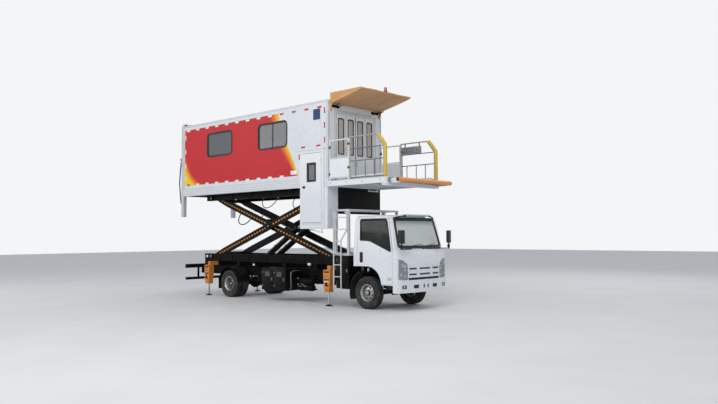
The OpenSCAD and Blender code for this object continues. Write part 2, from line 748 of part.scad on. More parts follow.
module knuckle() color("#333437") {
    translate([front_x, 620, tyre_r - 105]) cylinder(r = 22, h = 145);
    for (z = [tyre_r - 105, tyre_r + 15]) {
        translate([front_x, 620, z]) cylinder(r = 45, h = 30);
        block([front_x - 40, 620, z], [front_x + 40, 700, z + 30]);
    }
    block([front_x - 40, 675, tyre_r - 105], [front_x + 40, 705, tyre_r + 45]);
    bar([front_x, 700, tyre_r], [front_x, 790, tyre_r], 150);
    bar([front_x, 720, tyre_r], [front_x, front_track / 2 + 50, tyre_r], 45);
    bar([front_x, front_track / 2 + 45, tyre_r], [front_x, front_track / 2 + 75, tyre_r], 65);
}

// Scissor lift

// One arm's outline, along X from its first pin to its second
module arm_outline() {
    h = arm_h / 2;
    circle(arm_end_r);
    translate([arm_len, 0]) circle(arm_end_r);
    polygon([[0, -arm_end_r], [500, -h], [arm_len - 500, -h], [arm_len, -arm_end_r],
             [arm_len, arm_end_r], [arm_len - 500, h], [500, h], [0, arm_end_r]]);
}

// An arm from its lower or upper rear pin, turned by angle about that pin
module arm(y, z, angle, bores) {
    translate([pivot_x, y, z]) rotate([0, -angle, 0])
        difference() {
            xz_plate(0, arm_t) arm_outline();
            for (s = bores) translate([s, -1, 0]) rotate([-90, 0, 0]) cylinder(r = pin_r + pin_clear, h = arm_t + 2);
        }
}

module cross_tube(z, angle, s, off, y, r) {
    translate([pivot_x, 0, z]) rotate([0, -angle, 0]) translate([s, -y, off]) rotate([-90, 0, 0])
        cylinder(r = r, h = 2 * y);
}

module roller(x, z, y) {
    bar([x, y, z], [x, track_y + 5, z], 28);
    bar([x, track_y + 5, z], [x, track_web_y - 16, z], roller_r);
}

module outer_arms() color("#18191b") {
    sides() {
        arm(outer_arm_y, low_pin_z, lift_angle, [0]);
        translate([pivot_x, 0, low_pin_z]) rotate([0, -lift_angle, 0]) translate([arm_len / 2, 0, 0])
            bar([0, inner_arm_y - 10, 0], [0, outer_arm_y + 1, 0], pin_r);
        roller(front_pin_x, top_pin_z, outer_arm_y + arm_t - 1);
    }
    cross_tube(low_pin_z, lift_angle, 260, 0, outer_arm_y + 1, 50);
    cross_tube(low_pin_z, lift_angle, arm_len - 260, 0, outer_arm_y + 1, 50);
    cross_tube(low_pin_z, lift_angle, ram_reach, 0, outer_arm_y + 1, 60);
    translate([pivot_x, 0, low_pin_z]) rotate([0, -lift_angle, 0])
        sides() for (y = [ram_y - ram_ear - 20, ram_y + ram_ear]) xz_plate(y, 20) {
            translate([ram_reach, -ram_drop]) circle(75);
            translate([ram_reach - 75, -ram_drop]) square([150, ram_drop]);
        }
}

module inner_arms() color("#1b1c1f") {
    sides() {
        arm(inner_arm_y, top_pin_z, -lift_angle, [0, arm_len / 2]);
        roller(front_pin_x, low_pin_z, inner_arm_y + arm_t - 1);
    }
    cross_tube(top_pin_z, -lift_angle, 260, 0, inner_arm_y + 1, 50);
    cross_tube(top_pin_z, -lift_angle, arm_len - 260, 0, inner_arm_y + 1, 50);
    cross_tube(top_pin_z, -lift_angle, arm_len / 2 - 500, 0, inner_arm_y + 1, 50);
}

module ram_space() {
    sides() translate([ram_x, ram_y, ram_z]) rotate([0, 90 - ram_angle, 0]) children();
}

module lift_cylinders() color("#25262a") {
    ram_space() difference() {
        union() {
            translate([0, 0, 90]) cylinder(r = ram_r, h = barrel_len - 90);
            translate([0, 0, barrel_len - 60]) cylinder(r = ram_r + 10, h = 60);
            translate([0, 4 - ram_ear, 0]) rotate([-90, 0, 0]) cylinder(r = 66, h = 2 * ram_ear - 8);
            translate([-50, 4 - ram_ear, 0]) cube([100, 2 * ram_ear - 8, 120]);
        }
        translate([0, -80, 0]) rotate([-90, 0, 0]) cylinder(r = pin_r + pin_clear, h = 160);
        translate([0, 0, 260]) cylinder(r = ram_rod_r + 0.5, h = barrel_len);
    }
}

module lift_rods() color("#d5d8dc") {
    ram_space() {
        translate([0, 0, 900]) cylinder(r = ram_rod_r, h = ram_len - 950);
        translate([0, 4 - ram_ear, ram_len]) rotate([-90, 0, 0]) cylinder(r = 58, h = 2 * ram_ear - 8);
    }
}

// Cabin

module cabin_frame() color("#232427") {
    sides() {
        channel(pivot_x - 250, track_end_x, top_track_z);
        bar([pivot_x, track_web_y - 10, top_pin_z], [pivot_x, inner_arm_y - 12, top_pin_z], pin_r);
        bar([pivot_x, track_web_y - 10, top_pin_z], [pivot_x, inner_arm_y + arm_t + 8, top_pin_z], 52);
    }
    difference() {
        block([cabin_rear_x + wall_t, -cabin_y + wall_t, cabin_z],
              [cabin_front_x - wall_t, cabin_y - wall_t, floor_top]);
        block([side_door_x - 20, -cabin_y, cabin_z - 1],
              [side_door_x + side_door_w + 30, -cabin_y + well_y - 20, floor_top + 1]);
        for (k = [0:8], y = [-520, 660]) block([cabin_rear_x + 105 + 600 * k, y, cabin_z - 1],
            [cabin_rear_x + 645 + 600 * k, y < 0 ? 520 : 940, floor_top - 30]);
        for (k = [0:8]) block([cabin_rear_x + 105 + 600 * k, -940, cabin_z - 1],
            [cabin_rear_x + 645 + 600 * k, -660, floor_top - 30]);
    }
    yz_plate(cabin_front_x - 70, 20) translate([-cabin_y + well_y + 10, cabin_z - 700]) square([2 * cabin_y - well_y - 10, 700]);
}

module side_door_space() {
    block([side_door_x, -cabin_y - 60, side_sill_z], [side_door_x + side_door_w, -cabin_y + 60, side_sill_z + side_door_h]);
    for (z = side_hinge_z) hinge_room(side_hinge, z, 14, false);
}

module cabin_body() {
    difference() {
        union() {
            block([cabin_rear_x, -cabin_y, cabin_z], [cabin_front_x, cabin_y, cabin_top]);
            sides() block([cabin_rear_x - 4, cabin_y, cabin_z], [cabin_front_x + 4, cabin_y + 8, cabin_z + skirt_h]);
            sides() block([cabin_rear_x - 4, cabin_y, cabin_top - eaves_h], [cabin_front_x + 4, cabin_y + 8, cabin_top]);
        }
        block([cabin_rear_x + wall_t, -cabin_y + wall_t, cabin_z - 1],
              [cabin_front_x - wall_t, cabin_y - wall_t, cabin_top - eaves_h]);
        side_door_space();
        for (x = window_x) xz_plate(-cabin_y - 60, 2 * cabin_y + 120)
            translate([x - window_w / 2, cabin_z + window_z]) rounded(window_w, window_h, 60);
        block([cabin_front_x - 60, -doorway_w / 2, floor_top], [cabin_front_x + 20, doorway_w / 2, floor_top + doorway_h]);
        for (z = leaf_hinge_z) sides() hinge_room(jamb_hinge, z, 9, false);
    }
}

module cabin_side_wall(s) {
    intersection() {
        cabin_body();
        mirror([0, s < 0 ? 1 : 0, 0])
            for (v = [[0, cabin_top - eaves_h], [8, cabin_z + skirt_h]])
                block([cabin_rear_x + wall_t, cabin_y - wall_t, cabin_z], [cabin_front_x - wall_t, cabin_y + v[0], v[1]]);
    }
}

module cabin_wall_left() color("#e9ebee") {
    cabin_side_wall(1);
}

module cabin_wall_right() color("#e9ebee") {
    cabin_side_wall(-1);
}

module side_door_frame() color("#e9ebee") {
    well_x = [side_door_x - 50, cabin_front_x - 30];
    well_z = side_sill_z - well_beam_h;
    frame_x = [side_door_x - 70, side_door_x + side_door_w + 75];
    difference() {
        union() {
            block([well_x[0], -cabin_y, well_z], [well_x[1], -cabin_y + well_y - 12, cabin_z]);
            block([frame_x[0], -cabin_y - 22, well_z], [frame_x[1], -cabin_y, side_sill_z + side_door_h + 70]);
        }
        block([frame_x[0] - 1, -cabin_y - 8, cabin_z], [frame_x[1] + 1, -cabin_y, cabin_z + skirt_h]);
        block([well_x[0] + 30, -cabin_y + 30, side_sill_z], [well_x[1] - 30, -cabin_y + well_y - 42, cabin_z + 1]);
        side_door_space();
    }
    block([frame_x[0] - 40, -cabin_y - 46, side_sill_z + side_door_h + 46],
          [frame_x[1] + 40, -cabin_y - 20, side_sill_z + side_door_h + 70]);
    for (z = side_hinge_z) {
        hinge_pin(side_hinge, z, 14);
        for (k = [-45, 31]) block([side_hinge[0], side_hinge[1] - 2, z + k], [side_hinge[0] + 30, -cabin_y - 20, z + k + 14]);
    }
}

module cabin_ends() color("#e9ebee") {
    intersection() {
        cabin_body();
        for (x = [cabin_rear_x - 10, cabin_front_x - wall_t])
            block([x, -cabin_y - 8, cabin_z], [x + wall_t + 10, cabin_y + 8, cabin_top - eaves_h]);
    }
    for (z = leaf_hinge_z) sides() hinge_pin(jamb_hinge, z, 9);
}

module cabin_roof() color("#e9ebee") {
    intersection() {
        cabin_body();
        block([cabin_rear_x - 10, -cabin_y - 10, cabin_top - eaves_h], [cabin_front_x + 10, cabin_y + 10, cabin_top + 1]);
    }
}

module cabin_windows() color("#2a2d31") {
    for (x = window_x, s = [-1, 1]) xz_plate(s * (cabin_y - 22) - 4, 8)
        translate([x - window_w / 2 + 0.3, cabin_z + window_z + 0.3]) rounded(window_w - 0.6, window_h - 0.6, 60);
}

module side_door() color("#e4e7ea") {
    difference() {
        block([side_door_x + gap, -cabin_y - 30, side_sill_z + gap],
              [side_door_x + side_door_w - gap, -cabin_y + 6, side_sill_z + side_door_h - gap]);
        xz_plate(-cabin_y - 60, 120) translate([side_door_x + 190, side_sill_z + 1090]) rounded(360, 510, 30);
        for (z = side_hinge_z) hinge_room(side_hinge, z, 14, true);
    }
    for (z = side_hinge_z) hinge_sleeve(side_hinge, z, 14);
}

// A front door leaf of the right half: the outer one is k = 0, the inner one k = 1
module front_leaf(k) color("#dfe3e7") {
    y0 = -doorway_w / 2 + k * leaf_w;
    own = k == 0 ? jamb_hinge : fold_hinge;
    difference() {
        block([cabin_front_x - 38, y0 + 3, floor_top + gap],
              [cabin_front_x - 2, y0 + leaf_w - 3 - 5 * k, floor_top + doorway_h - gap]);
        yz_plate(cabin_front_x - 60, 100) translate([y0 + 62, floor_top + 700]) rounded(leaf_w - 124, 960, 40);
        for (z = leaf_hinge_z) {
            hinge_room(own, z, 9, true);
            if (k == 0) hinge_room(fold_hinge, z, 9, false);
        }
    }
    for (z = leaf_hinge_z) {
        hinge_sleeve(own, z, 9);
        if (k == 0) hinge_pin(fold_hinge, z, 9);
    }
}

// Boarding platform

module boarding_platform() color("#d9dcdf") {
    difference() {
        union() {
            block([cabin_front_x, -cabin_y, deck_top - deck_h], [deck_front_x + 1, cabin_y, deck_top]);
            block([deck_front_x, -cabin_y, deck_top - 210], [deck_front_x + 150, cabin_y, deck_top]);
        }
        block([cabin_front_x + 10, -cabin_y + 60, deck_top - deck_h - 1], [deck_front_x, cabin_y - 60, deck_top - 30]);
        block([deck_front_x - 1, -cabin_y + 60, deck_top - 130], [deck_front_x + 151, cabin_y - 60, deck_top - 30]);
        sides() block([cabin_front_x - 1, guard_y - 48, deck_top - edge_drop],
                      [deck_front_x + 151, cabin_y + 1, deck_top + 1]);
    }
}

// The guard's front tube, drawn forward by d: upright to the knee, then leaning back to the top rail
module front_tube(y, low, d, r) {
    knee = [deck_front_x + 40 + d, deck_top + 740 + d * 0.4];
    top = [deck_front_x - 195 + d * 0.75, rail_top_z - 5 + d * 0.65];
    bar([knee[0], y, low], [knee[0], y, knee[1]], r);
    translate([knee[0], y, knee[1]]) sphere(r = r);
    slanted_bar(knee, top, y, r);
}

module guard(y) {
    z0 = deck_top - edge_drop;
    post_x = [cabin_front_x + 735, deck_front_x - 200];
    front = deck_front_x + 40;
    bar([post_x[0], y, z0], [post_x[0], y, rail_top_z], rail_r);
    bar([post_x[0], y, rail_top_z], [post_x[1], y, rail_top_z], rail_r);
    front_tube(y, z0, 0, rail_r + 2);
    for (z = [deck_top + 740, deck_top + 440, deck_top + 30]) bar([post_x[0], y, z], [front, y, z], 12);
    for (x = [post_x[0] + 200, post_x[0] + 515, post_x[0] + 815])
        bar([x, y, deck_top + 30], [x, y, deck_top + 440], 10);
    bar([cabin_front_x + 30, y, z0], [cabin_front_x + 30, y, rail_top_z - 30], rail_r);
    bar([post_x[0] - 40, y, z0], [post_x[0] - 40, y, rail_top_z - 30], rail_r);
    bar([cabin_front_x + 30, y, rail_top_z - 30], [post_x[0] - 40, y, rail_top_z - 30], rail_r);
    block([cabin_front_x + 30, y - 6, deck_top + 70], [post_x[0] - 40, y + 6, deck_top + 540]);
}

module platform_rails() color("#e4e6e8") {
    for (y = [-guard_y, guard_y]) guard(y);
}

module rail_pads() color("#e0b93a") {
    for (y = [-guard_y, guard_y]) difference() {
        front_tube(y, deck_top - edge_drop, 52, 42);
        front_tube(y, deck_top - edge_drop - 1, 0, rail_r + 2.3);
        block([deck_front_x - 300, y - 60, rail_top_z - 60], [deck_front_x - 160, y + 60, rail_top_z + 100]);
    }
}

module platform_slide() color("#c7cace") difference() {
    union() {
        block([deck_front_x - 700, -cabin_y + 80, deck_top - 110], [roll_x - 30, cabin_y - 80, deck_top - 50]);
        sides() block([deck_front_x + 155, cabin_y - 140, deck_top - 160], [roll_x - 25, cabin_y - 85, deck_top - 110]);
        sides() block([deck_front_x - 700, cabin_y - 140, deck_top - 130 + 0.3], [deck_front_x + 400, cabin_y - 100, deck_top - 105]);
    }
    bar([roll_x, -1100, deck_top - 95], [roll_x, 1100, deck_top - 95], roll_r + 0.3);
}

module front_roll() color("#d87a2c") {
    bar([roll_x, -1050, deck_top - 95], [roll_x, 1050, deck_top - 95], roll_r);
}

module canopy() color("#8a6f4d") {
    z1 = cabin_top + 180;
    x0 = cabin_front_x + 0.3;
    x1 = cabin_front_x + canopy_l;
    difference() {
        xz_plate(-canopy_y, 2 * canopy_y)
            polygon([[x0, cabin_top - 110], [x1, z1 - canopy_h], [x1, z1], [x0, z1]]);
        xz_plate(-canopy_y + 20, 2 * canopy_y - 40)
            polygon([[x0 - 1, cabin_top - 90], [x1 - 20, z1 - canopy_h + 16], [x1 - 20, z1 - 16], [x0 - 1, z1 - 20]]);
    }
    sides() block([x0, canopy_y - 50, cabin_top - 300], [x0 + 25, canopy_y, cabin_top - 109]);
}

module beacon() color("#b04a2a")
    translate([cabin_front_x + canopy_l - 52, 0, cabin_top + 180.3]) cylinder(r = 50, h = 125);

// Tail lift

module tail_columns() color("#d8dbde") {
    sides() difference() {
        block([cabin_rear_x - 130, column_y - 55, 2400], [cabin_rear_x - 0.3, column_y + 55, cabin_top + 20]);
        block([cabin_rear_x - 131, column_y - 30, 2399], [cabin_rear_x - 40, column_y + 30, cabin_top + 21]);
    }
}

module tail_carriage() color("#3a3c3f") {
    hinge_x = cabin_rear_x - 225;
    sides() {
        block([cabin_rear_x - 125, column_y - 25, tail_hinge_z - 60], [cabin_rear_x - 45, column_y + 25, tail_hinge_z + 260]);
        for (z = [tail_hinge_z - 20, tail_hinge_z + 200])
            block([cabin_rear_x - 90, column_y - 29.7, z], [cabin_rear_x - 60, column_y + 29.7, z + 40]);
        block([cabin_rear_x - 190, column_y - 25, tail_hinge_z - 60], [cabin_rear_x - 125, column_y + 25, tail_hinge_z + 80]);
        xz_plate(column_y - 25, 50) translate([hinge_x, tail_hinge_z + 40]) {
            circle(35);
            translate([0, -35]) square([50, 70]);
        }
        bar([hinge_x, column_y - 20, tail_hinge_z + 40], [hinge_x, 790, tail_hinge_z + 40], 20);
    }
    block([cabin_rear_x - 190, 20 - column_y, tail_hinge_z - 60], [cabin_rear_x - 150, column_y - 20, tail_hinge_z - 10]);
}

module tail_platform() color("#a9adb2") {
    hinge_x = cabin_rear_x - 225;
    difference() {
        union() {
            block([hinge_x - 25, -900, tail_hinge_z + 50], [hinge_x + 25, 900, tail_hinge_z + tail_l]);
            bar([hinge_x, -900, tail_hinge_z + 40], [hinge_x, 900, tail_hinge_z + 40], 32);
        }
        sides() bar([hinge_x, 785, tail_hinge_z + 40], [hinge_x, 901, tail_hinge_z + 40], 20 + pin_clear);
    }
}

place() frame_rails();
place() lift_frame();
place() lower_tracks();
place() engine_block();
place() rear_axle();
place() leaf_springs();
place() front_axle();
place() side_boxes();
place() stabiliser_housings();
place() rear_guards();
place() lamps();
place() ladder_gantry();
place() cab_shell();
place() cab_fittings();
place() windscreen();
place() front_bumper();
place() mirrors();
place() knuckle();  // knuckle_left
place() mirror([0, 1, 0]) knuckle();  // knuckle_right
place() front_tyre();  // front_tyre_left
place() mirror([0, 1, 0]) front_tyre();  // front_tyre_right
place() front_rim();  // front_rim_left
place() mirror([0, 1, 0]) front_rim();  // front_rim_right
place() rear_tyres();  // rear_tyres_left
place() mirror([0, 1, 0]) rear_tyres();  // rear_tyres_right
place() rear_rims();  // rear_rims_left
place() mirror([0, 1, 0]) rear_rims();  // rear_rims_right
place() cab_door();  // cab_door_right
place() mirror([0, 1, 0]) cab_door();  // cab_door_left
place() cab_door_glass();  // cab_door_glass_right
place() mirror([0, 1, 0]) cab_door_glass();  // cab_door_glass_left
place() stabiliser_legs(leg_x[0]);  // rear_stabiliser_legs
place() stabiliser_legs(leg_x[1]);  // front_stabiliser_legs
place() outer_arms();
place() inner_arms();
place() lift_cylinders();
place() lift_rods();
place() cabin_frame();
place() cabin_wall_left();
place() cabin_wall_right();
place() cabin_ends();
place() cabin_roof();
place() side_door_frame();
place() cabin_windows();
place() boarding_platform();
place() platform_rails();
place() rail_pads();
place() canopy();
place() beacon();
place() tail_columns();
place() side_door();
place() front_leaf(0);  // front_leaf_1
place() front_leaf(1);  // front_leaf_2
place() mirror([0, 1, 0]) front_leaf(1);  // front_leaf_3
place() mirror([0, 1, 0]) front_leaf(0);  // front_leaf_4
place() platform_slide();
place() front_roll();
place() tail_carriage();
place() tail_platform();
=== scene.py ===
"""Visual model of an airport passenger lift truck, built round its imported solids.

Lengths are in metres. Shapes are drawn with X measured from the rear axle and moved back by
MIDDLE when a piece is closed, so that they land in the solids' own frame.
"""

import math

import bmesh
import bpy
from mathutils import Matrix, Vector


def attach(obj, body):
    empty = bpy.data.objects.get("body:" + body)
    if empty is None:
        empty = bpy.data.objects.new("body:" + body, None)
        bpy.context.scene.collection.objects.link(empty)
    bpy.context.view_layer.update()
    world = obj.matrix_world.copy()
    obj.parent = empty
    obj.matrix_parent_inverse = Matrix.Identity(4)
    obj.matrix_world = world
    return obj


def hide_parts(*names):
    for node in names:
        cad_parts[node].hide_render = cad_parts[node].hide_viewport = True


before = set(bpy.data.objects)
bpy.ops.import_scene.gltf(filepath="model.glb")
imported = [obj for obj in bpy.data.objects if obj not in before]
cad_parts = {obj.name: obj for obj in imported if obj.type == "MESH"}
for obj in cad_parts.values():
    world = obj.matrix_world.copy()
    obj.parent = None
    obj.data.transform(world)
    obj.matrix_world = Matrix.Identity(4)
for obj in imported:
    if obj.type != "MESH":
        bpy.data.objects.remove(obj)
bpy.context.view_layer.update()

SIDES = ((-1, "right"), (1, "left"))

# Places on the truck
MIDDLE = 1.9925
TYRE_R, TYRE_W, RIM_R = 0.395, 0.2, 0.205
FRONT_AXLE_X = 5.43
FRONT_WHEEL_Y = 0.83
REAR_WHEEL_Y = (0.64, 0.89)
CABIN_Y = 1.025
WINDOW_X = (-0.435, 2.02)
WINDOW_W, WINDOW_H, WINDOW_Z = 1.29, 0.77, 4.17
DOORWAY_W = 1.46
DOORWAY_FACE_X = 4.2202
ROLL_X, ROLL_Z = 6.53, 3.085
STITCH_STEP = 0.21
RAIL_LINE_Y = 0.995
GATE_X = (4.25, 4.915)
LEAF_TOP = 4.915
REAR_FACE_X = -2.3402
MAT_Z = 3.1802
CAB_Y, CAB_FACE_X, CAB_BACK_X = 0.97, 6.5, 5.04
CAB_BELT = 1.44
CAB_BEND_Z, CAB_CORNER_Y = 1.3, 0.84
MIRROR_TURN = math.radians(15)
PIVOT_X, LOW_PIN_Z, TOP_PIN_Z, ARM_LEN = -1.36, 1.17, 2.965, 5.52
LIFT_ANGLE = math.asin((TOP_PIN_Z - LOW_PIN_Z) / ARM_LEN)
OUTER_ARM_Y, INNER_ARM_Y, ARM_T = 0.455, 0.37, 0.05
TRACK_FACE_Y = 0.64
LEG_X, LEG_Y = (-1.06, 4.14), 0.935
LEG_FACE = 0.0855
LANDING_Z = 1.33


# Finishes

def tint(code):
    """Linear colour of a six-digit sRGB code."""
    parts = [int(code[i : i + 2], 16) / 255 for i in (0, 2, 4)]
    return (*[c / 12.92 if c <= 0.04045 else ((c + 0.055) / 1.055) ** 2.4 for c in parts], 1)


class Finish:
    """The nodes of one material, joined step by step."""

    def __init__(self, name):
        self.material = bpy.data.materials.new(name)
        self.material.use_nodes = True
        self.tree = self.material.node_tree
        self.tree.nodes.clear()
        self.skin = self.add("BsdfPrincipled")
        self.join(self.skin.outputs[0], self.add("OutputMaterial").inputs["Surface"])
        self.place = self.add("TexCoord").outputs["Object"]

    def add(self, kind, **settings):
        node = self.tree.nodes.new("ShaderNode" + kind)
        for key, value in settings.items():
            setattr(node, key, value)
        return node

    def join(self, source, socket):
        self.tree.links.new(source, socket)

    def fill(self, socket, value):
        if isinstance(value, bpy.types.NodeSocket):
            self.join(value, socket)
        else:
            socket.default_value = value

    def stretched(self, size):
        node = self.add("Mapping")
        self.join(self.place, node.inputs["Vector"])
        node.inputs["Scale"].default_value = size
        return node.outputs[0]

    def noise(self, scale, detail=3.0, rough=0.55, place=None):
        node = self.add("TexNoise")
        self.join(place or self.place, node.inputs["Vector"])
        node.inputs["Scale"].default_value = scale
        node.inputs["Detail"].default_value = detail
        node.inputs["Roughness"].default_value = rough
        return node.outputs["Fac"]

    def ranged(self, value, low, high, to_low=0.0, to_high=1.0):
        node = self.add("MapRange")
        self.join(value, node.inputs["Value"])
        for key, number in (("From Min", low), ("From Max", high), ("To Min", to_low), ("To Max", to_high)):
            node.inputs[key].default_value = number
        return node.outputs[0]

    def sums(self, kind, a, b=0.0):
        node = self.add("Math", operation=kind)
        self.fill(node.inputs[0], a)
        self.fill(node.inputs[1], b)
        return node.outputs[0]

    def mix(self, share, a, b):
        node = self.add("Mix", data_type="RGBA")
        self.fill(node.inputs[0], share)
        self.fill(node.inputs[6], a)
        self.fill(node.inputs[7], b)
        return node.outputs[2]

    def axes(self):
        node = self.add("SeparateXYZ")
        self.join(self.place, node.inputs[0])
        return node.outputs

    def bump(self, height, strength, distance=0.002):
        node = self.add("Bump")
        node.inputs["Strength"].default_value = strength
        node.inputs["Distance"].default_value = distance
        self.join(height, node.inputs["Height"])
        self.join(node.outputs[0], self.skin.inputs["Normal"])

    def gloss(self, roughness, spread=0.08):
        self.join(self.ranged(self.noise(9.0), 0.3, 0.7, max(0.02, roughness - spread), roughness + spread),
                  self.skin.inputs["Roughness"])

    def set(self, **values):
        for key, value in values.items():
            self.skin.inputs[key.replace("_", " ")].default_value = value


def worn(f, code, dust, dust_share, tone, top=1.6):
    """A colour that varies a little and is dusty up to the height top; returns its socket."""
    colour = tint(code)
    light = tuple(min(1.0, c * (1 + tone)) for c in colour[:3]) + (1,)
    dark = tuple(c * (1 - tone) for c in colour[:3]) + (1,)
    base = f.mix(f.ranged(f.noise(1.7, 4), 0.35, 0.65), dark, light)
    low = f.ranged(f.axes()[2], 0.0, top, 1.0, 0.12)
    share = f.sums("MULTIPLY", f.ranged(f.noise(7.0, 6, 0.65), 0.42, 0.75, 0.0, dust_share), low)
    return f.mix(share, base, tint(dust))


def paint(name, code, roughness=0.38, coat=0.25, metallic=0.0, peel=0.04, dust_share=0.35, tone=0.04,
          dust="8f8a80", shine=0.5):
    f = Finish(name)
    f.join(worn(f, code, dust, dust_share, tone), f.skin.inputs["Base Color"])
    f.gloss(roughness)
    f.bump(f.noise(260.0, 2), peel, 0.001)
    f.set(Metallic=metallic, Coat_Weight=coat, Coat_Roughness=0.12, Specular_IOR_Level=shine)
    return f.material


def metal(name, code, roughness=0.35, brushed=(1, 1, 1), dust_share=0.2, depth=0.05):
    """Bare metal with fine marks drawn out along one direction."""
    f = Finish(name)
    marks = f.noise(120.0, 4, 0.6, f.stretched(brushed))
    base = f.mix(f.ranged(marks, 0.3, 0.7), tuple(c * 0.86 for c in tint(code)[:3]) + (1,), tint(code))
    share = f.ranged(f.noise(5.0, 6, 0.7), 0.45, 0.8, 0.0, dust_share)
    f.join(f.mix(share, base, tint("7a746b")), f.skin.inputs["Base Color"])
    f.gloss(roughness, 0.1)
    f.bump(marks, depth, 0.0008)
    f.set(Metallic=1.0)
    return f.material


def rubber(name, code="17181a", roughness=0.78, dust="6d675f", dust_share=0.5, grain=180.0):
    f = Finish(name)
    f.join(worn(f, code, dust, dust_share, 0.12, 1.1), f.skin.inputs["Base Color"])
    f.gloss(roughness, 0.1)
    f.bump(f.noise(grain, 4), 0.15, 0.001)
    return f.material


def moulded(name, code, roughness):
    """Moulded plastic with a fine leather-like grain."""
    f = Finish(name)
    f.join(worn(f, code, "8a857b", 0.18, 0.05), f.skin.inputs["Base Color"])
    f.gloss(roughness)
    cells = f.add("TexVoronoi")
    f.join(f.place, cells.inputs["Vector"])
    cells.inputs["Scale"].default_value = 420.0
    f.bump(cells.outputs["Distance"], 0.12, 0.0006)
    return f.material


def pane(name, code, alpha, shine=0.7, band=None):
    """Sheet glass: tinted, with thin dust in patches; band tints the windscreen's top edge."""
    f = Finish(name)
    share = f.ranged(f.noise(4.0, 5, 0.6), 0.5, 0.85, 0.0, 0.12)
    base = f.mix(f.ranged(f.axes()[2], 2.0, 2.12), tint(code), tint(band)) if band else tint(code)
    f.join(f.mix(share, base, tint("8d9090")), f.skin.inputs["Base Color"])
    f.join(f.ranged(f.noise(6.0, 4), 0.45, 0.8, 0.04, 0.14), f.skin.inputs["Roughness"])
    f.set(IOR=1.45, Alpha=alpha, Specular_IOR_Level=shine)
    return f.material


def cloth(name, code, weave=900.0, fade="000000", sheen=0.3, roughness=0.85, tone=0.1):
    """Woven cloth: crossing threads, sun fade in broad patches and a soft sheen."""
    f = Finish(name)
    base = worn(f, code, "9a9184", 0.2, tone, 9.0)
    axes = f.axes()
    threads = [f.sums("SINE", f.sums("MULTIPLY", axis, weave)) for axis in (axes[0], axes[1])]
    cross = f.sums("MULTIPLY", threads[0], threads[1])
    f.join(f.mix(f.ranged(cross, -1, 1, 0.0, 0.16), base, tint(fade)), f.skin.inputs["Base Color"])
    f.gloss(roughness, 0.06)
    f.bump(cross, 0.25, 0.0008)
    f.set(Sheen_Weight=sheen, Sheen_Roughness=0.5)
    return f.material


def lens(name, code):
    """A moulded lamp lens, fluted on its inside, lightened towards white along the flutes as painted
    highlights.
    """
    f = Finish(name)
    flutes = f.sums("SINE", f.sums("MULTIPLY", f.axes()[1], 140.0))
    # painted highlights: the colour turns whiter along the flutes
    f.join(f.mix(f.ranged(flutes, -1, 1, 0, 0.25), tint(code), tint("ffffff")), f.skin.inputs["Base Color"])
    f.gloss(0.12, 0.04)
    f.bump(flutes, 0.4, 0.002)
    f.set(Coat_Weight=0.6, Coat_Roughness=0.05, Specular_IOR_Level=0.7)
    return f.material


def film_livery():
    """White panel with a red film that fades to orange and yellow at a curved edge; on the outside only."""
    f = Finish("cabin_film")
    x, y, z = f.axes()
    truck_x = f.sums("ADD", x, MIDDLE)
    edge = f.add("FloatCurve")
    # height 3.3..5.2 m against the film's front edge 2..3.4 m
    points = [(0.0, 0.83), (0.06, 0.77), (0.25, 0.64), (0.47, 0.475), (0.75, 0.30), (0.96, 0.2), (1.0, 0.19)]
    curve = edge.mapping.curves[0]
    curve.points[0].location, curve.points[-1].location = points[0], points[-1]
    for point in points[1:-1]:
        curve.points.new(*point)
    edge.mapping.update()
    f.join(f.ranged(z, 3.3, 5.2), edge.inputs["Value"])
    front = f.ranged(edge.outputs[0], 0, 1, 2.0, 3.4)
    behind = f.sums("SUBTRACT", front, truck_x)
    width = f.ranged(z, 3.4, 4.3, 0.16, 0.40)
    glow = f.sums("SUBTRACT", 1.0, f.sums("DIVIDE", behind, width))
    # the rear lower corner: distance past a large circle
    across = f.sums("SUBTRACT", -0.95, truck_x)
    down = f.sums("SUBTRACT", 4.62, z)
    reach = f.sums("SQRT", f.sums("ADD", f.sums("MULTIPLY", f.sums("MAXIMUM", across, 0.0),
                                                f.sums("MAXIMUM", across, 0.0)),
                                  f.sums("MULTIPLY", down, down)))
    corner = f.ranged(reach, 1.26, 1.52)
    share = f.sums("MAXIMUM", f.ranged(glow, 0.0, 1.0), corner)
    bands = f.add("ValToRGB")
    stops = bands.color_ramp.elements
    stops[0].position, stops[0].color = 0.0, tint("c81f29")
    stops[1].position, stops[1].color = 1.0, tint("f6d21f")
    for position, code in ((0.16, "d03a26"), (0.45, "e8741f"), (0.72, "f3ae1c")):
        stops.new(position).color = tint(code)
    f.join(share, bands.inputs[0])
    inside = f.sums("MULTIPLY", f.sums("GREATER_THAN", behind, 0.0), f.sums("GREATER_THAN", z, 3.375))
    inside = f.sums("MULTIPLY", inside, f.sums("LESS_THAN", z, 5.135))
    inside = f.sums("MULTIPLY", inside, f.sums("GREATER_THAN", truck_x, -2.275))
    inside = f.sums("MULTIPLY", inside, f.sums("GREATER_THAN", f.sums("ABSOLUTE", y), CABIN_Y - 0.004))
    white = worn(f, "dfe4e8", "8d8a84", 0.22, 0.02, 9.0)
    film = f.mix(f.ranged(f.noise(2.2, 5), 0.3, 0.7, 0.0, 0.10), bands.outputs[0], tint("7d1a1c"))
    f.join(f.mix(inside, white, film), f.skin.inputs["Base Color"])
    f.gloss(0.42, 0.06)
    f.bump(f.noise(40.0, 2), 0.03, 0.001)
    f.set(Specular_IOR_Level=0.22)
    return f.material


